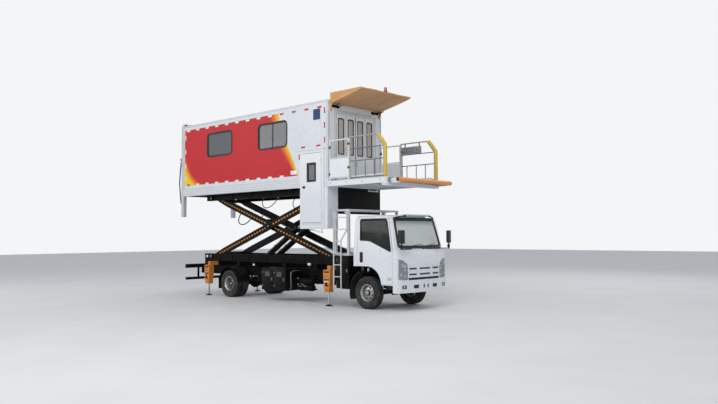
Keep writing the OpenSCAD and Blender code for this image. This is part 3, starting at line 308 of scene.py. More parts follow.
def grip_plate():
    """Aluminium tread plate with raised bars."""
    f = Finish("tread_plate")
    x, y = f.axes()[:2]
    bars = []
    for a, b in ((1, 1), (1, -1)):
        turned = f.sums("ADD", f.sums("MULTIPLY", x, 110.0 * a), f.sums("MULTIPLY", y, 110.0 * b))
        bars.append(f.sums("SINE", turned))
    raised = f.ranged(f.sums("MULTIPLY", bars[0], bars[1]), 0.55, 0.75)
    base = worn(f, "8e9296", "4e4b46", 0.5, 0.08, 9.0)
    f.join(f.mix(raised, base, tint("b4b8bc")), f.skin.inputs["Base Color"])
    f.gloss(0.42, 0.12)
    f.bump(raised, 0.6, 0.002)
    f.set(Metallic=0.85)
    return f.material


WHITE_CAB = paint("cab_paint", "e3e8ed", 0.3, 0.4, peel=0.003, dust_share=0.07, tone=0.015)
WHITE_PANEL = paint("panel_paint", "dfe4e8", 0.36, 0.3, dust_share=0.14, tone=0.015)
GREY_PANEL = paint("grey_panel", "c3c9ce", 0.42, 0.2, dust_share=0.25)
FILM = film_livery()
CHASSIS_BLACK = paint("chassis_paint", "0a0b0c", 0.6, 0.0, peel=0.08, dust_share=0.1, tone=0.2,
                      dust="5a554d", shine=0.08)
ARM_BLACK = paint("arm_paint", "0b0c0d", 0.5, 0.0, peel=0.08, dust_share=0.08, tone=0.2, dust="57524b",
                  shine=0.12)
IRON = paint("cast_iron", "141312", 0.72, 0.0, peel=0.3, dust_share=0.25, tone=0.25, dust="5c5146",
             shine=0.15)
BOX_BLACK = paint("box_paint", "090a0b", 0.45, 0.0, peel=0.1, dust_share=0.1, dust="4f4b45", shine=0.12)
ORANGE = paint("stabiliser_paint", "d8862e", 0.5, 0.15, peel=0.12, dust_share=0.7, tone=0.12, dust="6a4a2c")
SILVER = paint("ladder_paint", "c9ced2", 0.42, 0.2, metallic=0.15, dust_share=0.3)
RAIL_METAL = paint("rail_tube", "aaa593", 0.42, 0.1, dust_share=0.2, dust="6b675c")
# A darker copy of the rail tube's colour: painted shade on the lower rails and uprights
RAIL_SHADE = paint("rail_painted_shade", "5f6463", 0.45, 0.1, dust_share=0.2)
ALUMINIUM = metal("aluminium", "c9cdd0", 0.34, (0.05, 1, 1))
CHROME = metal("chromed_rod", "d6d8da", 0.12, (1, 1, 1), 0.05, 0.01)
STEEL = metal("bright_steel", "8d8f90", 0.45, (1, 1, 1), 0.4, 0.12)
RIM_PAINT = paint("rim_paint", "b4b8bb", 0.34, 0.4, metallic=0.55, dust_share=0.6, dust="6b645a")
TYRE = rubber("tyre_rubber")
SEAL = rubber("seal_rubber", "101113", 0.6, "4a4742", 0.15)
HOSE = rubber("hose_rubber", "141414", 0.55, "4a4742", 0.2)
PLASTIC = moulded("black_plastic", "16171a", 0.5)
GREY_PLASTIC = moulded("grey_plastic", "5b5e63", 0.55)
CONTROL_GREY = moulded("control_box_plastic", "8b9096", 0.45)
CAB_GLASS = pane("side_glass", "14181b", 0.86, shine=0.35)
SCREEN_GLASS = pane("screen_glass", "e6eeec", 0.6, band="9fbfb0")
REAR_GLASS = pane("rear_glass", "c4d2d0", 0.3)
CABIN_GLASS = pane("cabin_glass", "6d7276", 0.66)
DOOR_GLASS = pane("door_glass", "42484c", 0.8)
LEAF_GLASS = pane("leaf_glass", "cbc3be", 0.72)
MIRROR = metal("mirror_face", "c8ced2", 0.04, (1, 1, 1), 0.02, 0.0)
TREAD = grip_plate()
# The canopy's colour is lighter than the cloth's own: painted light for the sun shining through the canvas
# onto its underside
CANOPY_SUNLIT = cloth("canopy_cloth", "d8a063", 700.0, "8a6030")
PAD = cloth("pad_vinyl", "dcbb3a", 300.0, "a8862a", 0.05, 0.45, 0.05)
ROLL = cloth("roll_vinyl", "f2a04c", 300.0, "9a5318", 0.05, 0.5, 0.06)
SEAT = cloth("seat_cloth", "3c4046", 700.0, "1c1d20")
LENS_CLEAR = lens("clear_lens", "d8dcdf")
LENS_AMBER = lens("amber_lens", "e48a1e")
LENS_RED = lens("red_lens", "b3201c")
LENS_SMOKED = lens("smoked_lens", "b39a7c")
TAPE_RED = paint("red_tape", "c0222a", 0.4, 0.0, dust_share=0.1, shine=0.25)
TAPE_WHITE = paint("white_tape", "e6e8ea", 0.3, 0.5, dust_share=0.1)
TAPE_ORANGE = paint("orange_tape", "e0932a", 0.4, 0.0, dust_share=0.2, shine=0.3)
SIGN_BLUE = paint("blue_plate", "22386e", 0.45, 0.0, dust_share=0.1, shine=0.25)
MAT = rubber("floor_mat", "3a3d40", 0.8, "77726a", 0.3, 90.0)


# Shaping

def slab(bm, low, high, round_by=0.0, steps=2):
    """A block between two opposite corners, given in any order, its edges rounded."""
    low, high = Vector(map(min, low, high)), Vector(map(max, low, high))
    made = bmesh.ops.create_cube(bm, size=1.0, matrix=Matrix.Translation((low + high) / 2)
                                 @ Matrix.Diagonal((*(high - low), 1.0)))["verts"]
    if round_by:
        edges = list({e for v in made for e in v.link_edges})
        bmesh.ops.bevel(bm, geom=edges, offset=round_by, segments=steps, profile=0.5, affect="EDGES",
                        material=-1)


def rod(bm, a, b, r, r_end=None, sides=20):
    """A round bar, or a cone, between two points."""
    a, b = Vector(a), Vector(b)
    turn = (b - a).to_track_quat("Z", "Y").to_matrix().to_4x4()
    bmesh.ops.create_cone(bm, cap_ends=True, segments=sides, radius1=r, radius2=r if r_end is None
                          else r_end, depth=(b - a).length, matrix=Matrix.Translation((a + b) / 2) @ turn)


def turned(bm, profile, centre, axis="Y", steps=48):
    """Turns (radius, along) points about an axis through centre."""
    along = {"X": Vector((1, 0, 0)), "Y": Vector((0, 1, 0)), "Z": Vector((0, 0, 1))}[axis]
    out = Vector((1, 0, 0)) if axis != "X" else Vector((0, 0, 1))
    verts = [bm.verts.new(Vector(centre) + out * max(r, 1e-5) + along * t) for r, t in profile]
    edges = [bm.edges.new(pair) for pair in zip(verts, verts[1:])]
    bmesh.ops.spin(bm, geom=verts + edges, cent=centre, axis=along, dvec=(0, 0, 0), angle=math.tau,
                   steps=steps, use_merge=True)


def pipe(bm, points, r, sides=12):
    """A tube through the points, closed at both ends."""
    points = [Vector(p) for p in points]
    rings = []
    for i, p in enumerate(points):
        ahead = points[min(i + 1, len(points) - 1)] - points[max(i - 1, 0)]
        side = ahead.cross(Vector((0.02, 1, 0.03))).normalized()
        turn = Matrix((side, ahead.normalized().cross(side), ahead.normalized())).transposed().to_4x4()
        made = bmesh.ops.create_circle(bm, cap_ends=i in (0, len(points) - 1), segments=sides, radius=r,
                                       matrix=Matrix.Translation(p) @ turn)["verts"]
        rings.append([e for e in {e for v in made for e in v.link_edges}])
    for a, b in zip(rings, rings[1:]):
        bmesh.ops.bridge_loops(bm, edges=a + b)


def curve_points(corners, steps=6):
    """A smooth line through the corners."""
    corners = [Vector(c) for c in corners]
    ends = [corners[0] * 2 - corners[1]] + corners + [corners[-1] * 2 - corners[-2]]
    points = []
    for a, b, c, d in zip(ends, ends[1:], ends[2:], ends[3:]):
        for k in range(steps):
            t = k / steps
            points.append(0.5 * (2 * b + (c - a) * t + (2 * a - 5 * b + 4 * c - d) * t * t
                                 + (3 * b - a - 3 * c + d) * t * t * t))
    return points + [corners[-1]]


def thicken(bm, faces, push):
    """Draws flat faces out by the push vector."""
    made = bmesh.ops.extrude_face_region(bm, geom=faces)["geom"]
    bmesh.ops.translate(bm, verts=[v for v in made if isinstance(v, bmesh.types.BMVert)], vec=push)


def outline(bm, points, push):
    """A flat plate with the given outline, given its thickness by the push vector."""
    thicken(bm, [bm.faces.new([bm.verts.new(p) for p in points])], push)


def edge_ring(bm, points):
    """A closed ring of edges through the points."""
    verts = [bm.verts.new(p) for p in points]
    return [bm.edges.new((verts[i - 1], verts[i])) for i in range(len(verts))]


def quads(bm, rows):
    """The faces between rows of as many vertices each."""
    return [bm.faces.new((a[j], a[j + 1], b[j + 1], b[j])) for a, b in zip(rows, rows[1:])
            for j in range(len(a) - 1)]


def on_circle(r, degrees):
    """A point on a circle about the origin."""
    return r * math.cos(math.radians(degrees)), r * math.sin(math.radians(degrees))


def rounded_corners(w, h, r, steps=5):
    """The outline of a rounded rectangle about the origin, as (across, up) pairs."""
    points = []
    for cx, cy, start in ((w / 2 - r, h / 2 - r, 0), (r - w / 2, h / 2 - r, 90),
                          (r - w / 2, r - h / 2, 180), (w / 2 - r, r - h / 2, 270)):
        for k in range(steps + 1):
            a, b = on_circle(r, start + 90 * k / steps)
            points.append((cx + a, cy + b))
    return points


def frame_ring(bm, centre, w, h, r, width, depth, facing="Y"):
    """A rounded window frame: a ring of the given width, standing out by depth."""
    rings = []
    for grow in (0.0, -width):
        line = rounded_corners(w + 2 * grow, h + 2 * grow, max(0.004, r + grow))
        place = [(a, 0, b) if facing == "Y" else (0, a, b) for a, b in line]
        rings += edge_ring(bm, [Vector(centre) + Vector(p) for p in place])
    faces = bmesh.ops.bridge_loops(bm, edges=rings)["faces"]
    thicken(bm, faces, (0, depth, 0) if facing == "Y" else (depth, 0, 0))


def merged(bm, part):
    """Adds one drawn shape to another."""
    mesh = bpy.data.meshes.new("part")
    part.to_mesh(mesh)
    part.free()
    bm.from_mesh(mesh)
    bpy.data.meshes.remove(mesh)


def put(name, data):
    """A new object in the scene."""
    obj = bpy.data.objects.new(name, data)
    bpy.context.scene.collection.objects.link(obj)
    return obj


def close(bm, name, body, finish, replaces=(), sharp=35, merge=0.0, clean=True):
    """Moves the drawn shape into the frame and makes it a piece of the model."""
    if merge:
        bmesh.ops.remove_doubles(bm, verts=bm.verts, dist=merge)
    bmesh.ops.translate(bm, verts=bm.verts, vec=(-MIDDLE, 0, 0))
    if clean:
        bmesh.ops.recalc_face_normals(bm, faces=bm.faces)
    mesh = bpy.data.meshes.new(name)
    bm.to_mesh(mesh)
    bm.free()
    mesh.polygons.foreach_set("use_smooth", [True] * len(mesh.polygons))
    mesh.set_sharp_from_angle(angle=math.radians(sharp))
    mesh.materials.append(finish)
    obj = put(name, mesh)
    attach(obj, body)
    if replaces:
        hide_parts(*replaces)
    return obj


def cad_finish(finish, *names):
    for name in names:
        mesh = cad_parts[name].data
        mesh.materials.clear()
        mesh.materials.append(finish)


# Camera and studio

CAMERA_PLACE = (16.92 - MIDDLE, -13.508, 1.792)
CAMERA_HEADING, CAMERA_TILT, CAMERA_ROLL = 42.989, 92.703, -0.324


def make_camera():
    data = bpy.data.cameras.new("camera")
    data.lens, data.sensor_width = 35.176, 36.0
    data.clip_end = 200.0
    camera = put("camera", data)
    camera.location = CAMERA_PLACE
    turn = (Matrix.Rotation(math.radians(CAMERA_HEADING), 4, "Z")
            @ Matrix.Rotation(math.radians(CAMERA_TILT), 4, "X")
            @ Matrix.Rotation(math.radians(CAMERA_ROLL), 4, "Z"))
    camera.rotation_euler = turn.to_euler()
    bpy.context.scene.camera = camera


def make_studio():
    bm = bmesh.new()
    bmesh.ops.create_grid(bm, x_segments=2, y_segments=2, size=60.0)
    mesh = bpy.data.meshes.new("floor")
    bm.to_mesh(mesh)
    bm.free()
    put("floor", mesh)
    f = Finish("floor_paint")
    f.join(f.mix(f.ranged(f.noise(0.6, 3), 0.3, 0.7), tint("dcdddf"), tint("e2e3e4")),
           f.skin.inputs["Base Color"])
    f.set(Roughness=0.8)
    mesh.materials.append(f.material)

    world = bpy.data.worlds.new("studio")
    bpy.context.scene.world = world
    world.use_nodes = True
    tree = world.node_tree
    tree.nodes.clear()
    out, paths, seen, fill, either, also, mix = [
        tree.nodes.new("ShaderNode" + kind)
        for kind in ("OutputWorld", "LightPath", "Background", "Background", "Math", "Math", "MixShader")]
    either.operation = also.operation = "MAXIMUM"
    for light, code, strength in ((seen, "f4f5f7", 1.0), (fill, "e8ecf2", 0.62)):
        light.inputs["Color"].default_value = tint(code)
        light.inputs["Strength"].default_value = strength
    for source, socket in ((paths.outputs["Is Camera Ray"], either.inputs[0]),
                           (paths.outputs["Is Glossy Ray"], either.inputs[1]),
                           (either.outputs[0], also.inputs[0]),
                           (paths.outputs["Is Transmission Ray"], also.inputs[1]),
                           (also.outputs[0], mix.inputs[0]), (fill.outputs[0], mix.inputs[1]),
                           (seen.outputs[0], mix.inputs[2]), (mix.outputs[0], out.inputs[0])):
        tree.links.new(source, socket)
    for name, place, aim, size, power in (("key", (9, -12, 11), (1, 0, 2.5), 9.0, 900.0),
                                          ("side", (-10, -12, 8), (-1, 0, 2.5), 8.0, 420.0),
                                          ("back", (4, 14, 12), (0, 0, 2.5), 9.0, 500.0)):
        lamp = bpy.data.lights.new(name, "AREA")
        lamp.size, lamp.energy = size, power
        lamp.color = (1.0, 0.985, 0.96)
        obj = put(name, lamp)
        obj.location = place
        obj.rotation_euler = (Vector(aim) - Vector(place)).to_track_quat("-Z", "Y").to_euler()
    bpy.context.scene.view_settings.view_transform = "Standard"


make_camera()
make_studio()

# Solids that stay

cad_finish(CHASSIS_BLACK, "frame_rails", "lift_frame", "lower_tracks", "rear_guards")
cad_finish(IRON, "engine_block", "rear_axle", "leaf_springs", "front_axle", "knuckle_left", "knuckle_right")
cad_finish(BOX_BLACK, "side_boxes")
cad_finish(ORANGE, "stabiliser_housings")
cad_finish(STEEL, "rear_stabiliser_legs", "front_stabiliser_legs")
cad_finish(SILVER, "ladder_gantry")
cad_finish(WHITE_CAB, "cab_shell", "cab_door_left", "cab_door_right", "front_bumper")
cad_finish(PLASTIC, "cab_fittings", "mirrors")
cad_finish(SCREEN_GLASS, "windscreen")
cad_finish(CAB_GLASS, "cab_door_glass_left", "cab_door_glass_right")
cad_finish(TYRE, "front_tyre_left", "front_tyre_right", "rear_tyres_left", "rear_tyres_right")
cad_finish(RIM_PAINT, "front_rim_left", "front_rim_right", "rear_rims_left", "rear_rims_right")
cad_finish(ARM_BLACK, "outer_arms", "inner_arms", "lift_cylinders", "cabin_frame")
cad_finish(CHROME, "lift_rods")
cad_finish(FILM, "cabin_wall_left", "cabin_wall_right")
cad_finish(WHITE_PANEL, "cabin_ends", "cabin_roof", "side_door_frame", "side_door", "boarding_platform",
           "front_leaf_1", "front_leaf_2", "front_leaf_3", "front_leaf_4")
cad_finish(CABIN_GLASS, "cabin_windows")
cad_finish(GREY_PANEL, "tail_columns")
cad_finish(ALUMINIUM, "platform_slide", "tail_platform")
cad_finish(RAIL_METAL, "platform_rails")
cad_finish(PAD, "rail_pads")
cad_finish(CANOPY_SUNLIT, "canopy")
cad_finish(LENS_RED, "beacon")
cad_finish(ROLL, "front_roll")
cad_finish(PLASTIC, "tail_carriage")
cad_finish(LENS_CLEAR, "lamps")


# Wheels

def tyre(name, body, node, centres):
    """Ribbed truck tyres: moulded sidewalls, three grooves and raised blocks on the ribs."""
    bm = bmesh.new()
    half = TYRE_W / 2
    wall = [(RIM_R, 0.72), (RIM_R + 0.012, 0.84), (0.235, 0.9), (0.27, 0.965), (0.3, 0.995), (0.304, 1.0),
            (0.31, 0.995), (0.335, 0.985), (0.362, 0.955), (0.378, 0.9), (0.384, 0.86)]
    for y in centres:
        tread = [(0.388, 0.84), (0.388, 0.5), (0.378, 0.47), (0.378, 0.41), (0.388, 0.38), (0.388, 0.09),
                 (0.378, 0.06), (0.378, -0.06), (0.388, -0.09), (0.388, -0.38), (0.378, -0.41),
                 (0.378, -0.47), (0.388, -0.5), (0.388, -0.84)]
        line = wall + tread + [(r, -t) for r, t in reversed(wall)]
        turned(bm, [(r, t * half) for r, t in line], (node[0], y, TYRE_R), steps=60)
    for y in centres:
        shoulders = [f for f in bm.faces
                     if abs(math.hypot(f.calc_center_median().x - node[0],
                                       f.calc_center_median().z - TYRE_R) - 0.3875) < 0.0015
                     and abs(f.calc_center_median().y - y) < half and f.calc_area() > 2e-4]
        bmesh.ops.recalc_face_normals(bm, faces=bm.faces)
        bmesh.ops.inset_individual(bm, faces=shoulders, thickness=0.0022, depth=0.0055, use_even_offset=True)
    close(bm, name, body, TYRE, (node[1],), sharp=28, merge=1e-5)


def wheel(name, body, node, x, y, side, dish, hub_r):
    """A steel disc wheel: flanged rim, a dished disc with hand holes, a hub and its nuts."""
    bm = bmesh.new()
    rim = [(0.21, 0.088), (0.206, 0.092), (0.2, 0.09), (0.197, 0.075), (0.186, 0.06), (0.184, -0.06),
           (0.197, -0.08), (0.206, -0.092), (0.203, -0.094), (0.19, -0.088), (0.178, -0.062), (0.178, 0.058),
           (0.19, 0.076), (0.194, 0.086), (0.2, 0.094), (0.21, 0.088)]
    turned(bm, [(r, side * t) for r, t in rim], (x, y, TYRE_R), steps=48)
    disc = bmesh.new()
    line = [(0.178, dish - 0.03), (0.164, dish - 0.012), (0.15, dish), (0.118, dish + 0.012),
            (0.105, dish + 0.018), (0.07, dish + 0.02), (0.048, dish + 0.02)]
    turned(disc, [(r, side * t) for r, t in line], (x, y, TYRE_R), steps=60)
    bmesh.ops.remove_doubles(disc, verts=disc.verts, dist=1e-5)
    holes = []
    for face in disc.faces:
        c = face.calc_center_median()
        r = math.hypot(c.x - x, c.z - TYRE_R)
        turn = (math.degrees(math.atan2(c.z - TYRE_R, c.x - x)) % 45.0) / 45.0
        if 0.12 < r < 0.149 and 0.25 < turn < 0.75:
            holes.append(face)
    bmesh.ops.delete(disc, geom=holes, context="FACES")
    bmesh.ops.recalc_face_normals(disc, faces=disc.faces)
    bmesh.ops.solidify(disc, geom=disc.faces[:], thickness=0.007)
    merged(bm, disc)
    hub = [(0.0, dish + 0.075), (hub_r * 0.7, dish + 0.072), (hub_r * 0.85, dish + 0.06),
           (hub_r * 0.9, dish + 0.03), (hub_r, dish + 0.026), (hub_r, dish + 0.012)]
    turned(bm, [(r, side * min(t, 0.098)) for r, t in hub], (x, y, TYRE_R), steps=32)
    for k in range(6):
        a, b = on_circle(0.083, 60 * k + 15)
        cx, cz = x + a, TYRE_R + b
        rod(bm, (cx, y + side * (dish + 0.012), cz), (cx, y + side * (dish + 0.036), cz), 0.013, sides=6)
        rod(bm, (cx, y + side * (dish + 0.036), cz), (cx, y + side * (dish + 0.044), cz), 0.009, 0.007,
            sides=10)
    close(bm, name, body, RIM_PAINT, (node,), sharp=30)


for side, word in SIDES:
    tyre(f"front_tread_{word}", f"front_{word}_wheel", (FRONT_AXLE_X, f"front_tyre_{word}"),
         [side * FRONT_WHEEL_Y])
    wheel(f"front_disc_{word}", f"front_{word}_wheel", f"front_rim_{word}", FRONT_AXLE_X,
          side * FRONT_WHEEL_Y, side, 0.02, 0.058)
    tyre(f"rear_treads_{word}", f"rear_{word}_wheels", (0.0, f"rear_tyres_{word}"),
         [side * y for y in REAR_WHEEL_Y])
    wheel(f"rear_disc_{word}", f"rear_{word}_wheels", f"rear_rims_{word}", 0.0, side * REAR_WHEEL_Y[1], side,
          -0.055, 0.05)
    bm = bmesh.new()
    rim = [(0.21, 0.09), (0.2, 0.092), (0.186, 0.06), (0.184, -0.06), (0.2, -0.092), (0.21, -0.09),
           (0.203, -0.095), (0.178, -0.062), (0.178, 0.062), (0.2, 0.096), (0.21, 0.09)]
    turned(bm, rim, (0.0, side * REAR_WHEEL_Y[0], TYRE_R), steps=40)
    close(bm, f"inner_rim_{word}", f"rear_{word}_wheels", RIM_PAINT, sharp=30)


# Cab

def face_x(y, z):
    """Where the cab's bowed front face lies."""
    bow = min(abs(y), CAB_CORNER_Y) ** 2 / 12.0
    if abs(y) > CAB_CORNER_Y:
        bow += 0.13 - math.sqrt(max(0.0, 0.13 ** 2 - (abs(y) - CAB_CORNER_Y) ** 2))
    if z <= 1.1:
        return CAB_FACE_X - bow
    if z <= CAB_BEND_Z:
        return CAB_FACE_X - 0.02 * (z - 1.1) / 0.2 - bow
    if z <= CAB_BELT:
        return CAB_FACE_X - 0.02 - 0.028 * (z - CAB_BEND_Z) / 0.14 - bow
    return CAB_FACE_X - 0.076 - (z - CAB_BELT) * 0.192 / 0.68 - bow


def face_plate(bm, points, thick, sink):
    """A thin plate that follows the bowed front, from (y, z) points; sink sets it into the face."""
    outline(bm, [(face_x(y, z) - sink, y, z) for y, z in points], (-thick, 0, 0))


def face_band(y0, y1, z0, z1, steps=8):
    """The outline of an upright band on the front, as (y, z) points."""
    across = [y0 + (y1 - y0) * k / steps for k in range(steps + 1)]
    back = [y1 - (y1 - y0) * k / steps for k in range(steps + 1)]
    return [(y, z0) for y in across] + [(y, z1) for y in back]


def side_y(z):
    """Half width of the cab's side at a height."""
    if z <= CAB_BEND_Z:
        return CAB_Y
    if z <= CAB_BELT:
        return CAB_Y - 0.004 * (z - CAB_BEND_Z) / 0.14
    return CAB_Y - 0.006 - (z - CAB_BELT) * 0.056 / 0.68


# Front grille: dark slots with a bar in each, and the wide opening with its uprights
SLOT_Z = (0.992, 0.857)
SLOT_Y = ((-0.575, -0.305), (-0.21, 0.21), (0.305, 0.575))
bm = bmesh.new()
for z in SLOT_Z:
    for y0, y1 in SLOT_Y:
        face_plate(bm, face_band(y0, y1, z - 0.02, z + 0.02), 0.01, 0.028)
face_plate(bm, face_band(-0.6, 0.6, 0.727, 0.778, 16), 0.01, 0.03)
for y in [-0.54 + 0.09 * k for k in range(13)]:
    slab(bm, (face_x(y, 0.75) - 0.03, y - 0.004, 0.728), (face_x(y, 0.75) - 0.012, y + 0.004, 0.777), 0.001)
close(bm, "grille_backs", "chassis", PLASTIC)

bm = bmesh.new()
for z in SLOT_Z:
    for y0, y1 in SLOT_Y:
        line = [(face_x(y0 + (y1 - y0) * k / 8, z) - 0.006, y0 + (y1 - y0) * k / 8, z) for k in range(9)]
        pipe(bm, line, 0.0045, 8)
close(bm, "grille_bars", "chassis", GREY_PLASTIC)

# Windscreen seal
bm = bmesh.new()
screen = [(-0.78, 1.475), (-0.4, 1.468), (0, 1.466), (0.4, 1.468), (0.78, 1.475), (0.822, 1.5),
          (0.835, 1.535), (0.81, 1.85), (0.785, 2.15), (0.77, 2.185), (0.745, 2.192), (0.4, 2.198),
          (0, 2.2), (-0.4, 2.198), (-0.745, 2.192), (-0.77, 2.185), (-0.785, 2.15), (-0.81, 1.85),
          (-0.835, 1.535), (-0.822, 1.5)]
line = [(face_x(y, z) - 0.012, y, z) for y, z in screen]
pipe(bm, curve_points(line + line[:1], 3), 0.015, 8)
close(bm, "windscreen_seal", "chassis", SEAL, sharp=60)

# The black printed border inside the windscreen's edge
bm = bmesh.new()
rings = []
for shrink in (0.0, 0.065):
    ring = [(y * (1 - shrink / 0.8), z + shrink * (1.83 - z) / 0.36) for y, z in screen]
    rings += edge_ring(bm, [(face_x(y, z) - 0.0088, y, z) for y, z in ring])
bmesh.ops.bridge_loops(bm, edges=rings)
bmesh.ops.subdivide_edges(bm, edges=[e for e in bm.edges if abs(e.verts[0].co.y - e.verts[1].co.y) > 0.2],
                          cuts=4)
for v in bm.verts:
    v.co.x = face_x(v.co.y, v.co.z) - 0.0088
bmesh.ops.solidify(bm, geom=bm.faces[:], thickness=0.001)
close(bm, "windscreen_border", "chassis", SEAL, sharp=60)

# Wipers and their cowl
bm = bmesh.new()
face_plate(bm, face_band(-0.74, 0.74, 1.442, 1.466, 16), 0.012, -0.004)
for y, tip_y in ((-0.55, 0.02), (0.02, 0.58)):
    foot = Vector((face_x(y, 1.458) + 0.008, y, 1.458))
    tip = Vector((face_x((y + tip_y) / 2, 1.6) + 0.016, (y + tip_y) / 2 + 0.1, 1.545))
    rod(bm, foot - Vector((0.02, 0, 0)), foot + Vector((0.014, 0, 0)), 0.02, 0.014)
    pipe(bm, [foot + Vector((0.008, 0, 0)), (foot + tip) / 2 + Vector((0.006, 0, 0.006)), tip], 0.006, 8)
    blade = [(face_x(yy, 1.545 + 0.03 * k / 8) + 0.002, yy, 1.515 + 0.05 * k / 8)
             for k in range(9) for yy in [y + 0.02 + (tip_y - y) * k / 8]]
    pipe(bm, blade, 0.006, 8)
close(bm, "wipers_and_cowl", "chassis", PLASTIC, sharp=50)

# Door windows: rubber frames
bm = bmesh.new()
x0, x1 = CAB_BACK_X + 0.2, CAB_FACE_X - 0.265
window = [(x0, 1.665), (x0 - 0.012, 1.9), (x0 - 0.025, 2.14), (x0 - 0.015, 2.158), (x0 + 0.01, 2.165),
          (x1 - 0.45, 2.165), (x1 - 0.205, 2.165), (x1 - 0.175, 2.152), (x1 - 0.155, 2.12),
          (x1 - 0.07, 1.74), (x1 - 0.002, 1.425), (x1 - 0.008, 1.4), (x1 - 0.03, 1.402),
          (x0 + 0.34, 1.643), (x0 + 0.2, 1.66), (x0 + 0.02, 1.664)]
line = [(x, -side_y(z) + 0.004, z) for x, z in window]
pipe(bm, line + line[:1], 0.012, 8)
close(bm, "door_window_seal_right", "right_cab_door", SEAL, sharp=60)
bm = bmesh.new()
pipe(bm, [(x, -y, z) for x, y, z in line + line[:1]], 0.012, 8)
close(bm, "door_window_seal_left", "left_cab_door", SEAL, sharp=60)

# Dark seals in the gaps round the doors, on the cab's side of the gap
bm = bmesh.new()
x0, x1 = CAB_BACK_X + 0.113, CAB_FACE_X - 0.218
line = [(x0, 1.06), (x0, CAB_BELT), (x0, 2.148), (x0 + 0.02, 2.186), (x1 - 0.16, 2.186), (x1, CAB_BELT),
        (x1, 0.625)]
for side in (-1, 1):
    pipe(bm, [(x, side * (side_y(z) - 0.004), z) for x, z in line], 0.003, 6)
close(bm, "door_gap_seals", "chassis", SEAL, sharp=60)

# Doors: the handle's recess with its black pull, the side lamp, and the edge of the wheel arch
for side, word in SIDES:
    x, y = CAB_BACK_X + 0.257, side * CAB_Y
    bm = bmesh.new()
    ring = rounded_corners(0.075, 0.24, 0.02)
    outline(bm, [(x + a, y - side * 0.016, 1.255 + b) for a, b in ring], (0, side * 0.012, 0))
    frame_ring(bm, (x, y - side * 0.006, 1.255), 0.068, 0.216, 0.02, 0.02, side * 0.0075)
    frame_ring(bm, (x, y - side * 0.001, 1.255), 0.108, 0.256, 0.035, 0.028, side * 0.0025)
    slab(bm, (CAB_BACK_X + 0.236, min(y, y - side * 0.004) - 0.002, 1.165),
         (CAB_BACK_X + 0.266, max(y, y - side * 0.004) + 0.004, 1.345), 0.006, 3)
    rod(bm, (CAB_BACK_X + 0.28, y - side * 0.01, 1.18), (CAB_BACK_X + 0.28, y + side * 0.002, 1.18), 0.012)
    close(bm, f"door_handle_{word}", f"{word}_cab_door", PLASTIC)
    bm = bmesh.new()
    ring = rounded_corners(0.12, 0.07, 0.025)
    outline(bm, [(6.19 + a, y - side * 0.002, 0.762 + b) for a, b in ring], (0, side * 0.012, 0))
    bmesh.ops.bevel(bm, geom=bm.edges[:], offset=0.003, segments=2, profile=0.5, affect="EDGES", material=-1)
    close(bm, f"door_side_lamp_{word}", f"{word}_cab_door", LENS_SMOKED)
    # edge trim of the wheel arch along the door's foot
    bm = bmesh.new()
    arch = [(5.535, 1.042), (5.60, 1.027), (5.66, 1.006), (5.72, 0.972), (5.78, 0.934), (5.83, 0.885),
            (5.87, 0.832), (5.90, 0.77), (5.92, 0.71), (5.934, 0.64)]
    pipe(bm, curve_points([(x + 0.012, y + side * 0.002, z + 0.008) for x, z in arch], 3), 0.012, 8)
    close(bm, f"arch_lip_{word}", f"{word}_cab_door", WHITE_CAB, sharp=60)


def along(table, at):
    """Straight-line value of a table of (place, value) pairs."""
    for (a, va), (b, vb) in zip(table, table[1:]):
        if at <= b:
            return va + (vb - va) * (at - a) / (b - a)
    return table[-1][1]


LAMP_LOW, LAMP_HIGH = 0.728, 1.208
LAMP_INNER = [(0.728, 0.624), (0.9, 0.609), (1.1, 0.634), (1.19, 0.768), (1.21, 0.89)]


def lamp_sheet(bm, side, sink):
    """A sheet over the headlamp's opening, set back by sink; returns the vertices round its edge."""
    rows = []
    for k in range(15):
        z = LAMP_LOW + (LAMP_HIGH - LAMP_LOW) * k / 14
        inner = along(LAMP_INNER, z)
        rows.append([bm.verts.new((face_x(y, z) - sink, side * y, z + (0.012 * (y - 0.62) if k == 0 else 0)))
                     for y in [inner + (0.913 - inner) * j / 10 for j in range(11)]])
    quads(bm, rows)
    return rows[0] + [r[-1] for r in rows[1:]] + rows[-1][-2::-1] + [r[0] for r in rows[-2:0:-1]]


# Headlamps: a dark chrome bowl with reflectors and bulbs behind a clear cover
bowl, glow, amber, cover = bmesh.new(), bmesh.new(), bmesh.new(), bmesh.new()
for side in (-1, 1):
    ring = lamp_sheet(bowl, side, 0.058)
    lip = [bowl.verts.new(v.co + Vector((0.05, 0, 0))) for v in ring]
    for k in range(len(ring)):
        bowl.faces.new((ring[k - 1], ring[k], lip[k], lip[k - 1]))
    for y, z, r in ((0.70, 0.82, 0.062), (0.7, 0.965, 0.056), (0.80, 1.10, 0.046), (0.83, 0.86, 0.046)):
        x = face_x(y, z) - 0.052
        turned(bowl, [(0.0, -0.002), (r * 0.5, 0.004), (r * 0.85, 0.02), (r, 0.034), (r * 1.08, 0.034),
                      (r * 1.08, 0.0)],
               (x, side * y, z), "X", 28)
        turned(glow if z < 1 else amber, [(0.0, 0.034), (0.011, 0.032), (0.015, 0.024), (0.012, 0.0)],
               (x, side * y, z), "X", 16)
    for k in range(5):
        y = 0.78 + 0.028 * k
        slab(bowl, (face_x(y, 0.98) - 0.058, side * y - 0.004, 0.93 + 0.012 * k),
             (face_x(y, 0.98) - 0.03, side * y + 0.004, 1.05 + 0.012 * k), 0.001)
    lamp_sheet(cover, side, 0.003)
bmesh.ops.recalc_face_normals(cover, faces=cover.faces)
bmesh.ops.solidify(cover, geom=cover.faces[:], thickness=0.004)
LAMP_BOWL = metal("lamp_bowl", "7d8187", 0.16, (1, 1, 1), 0.1, 0.02)
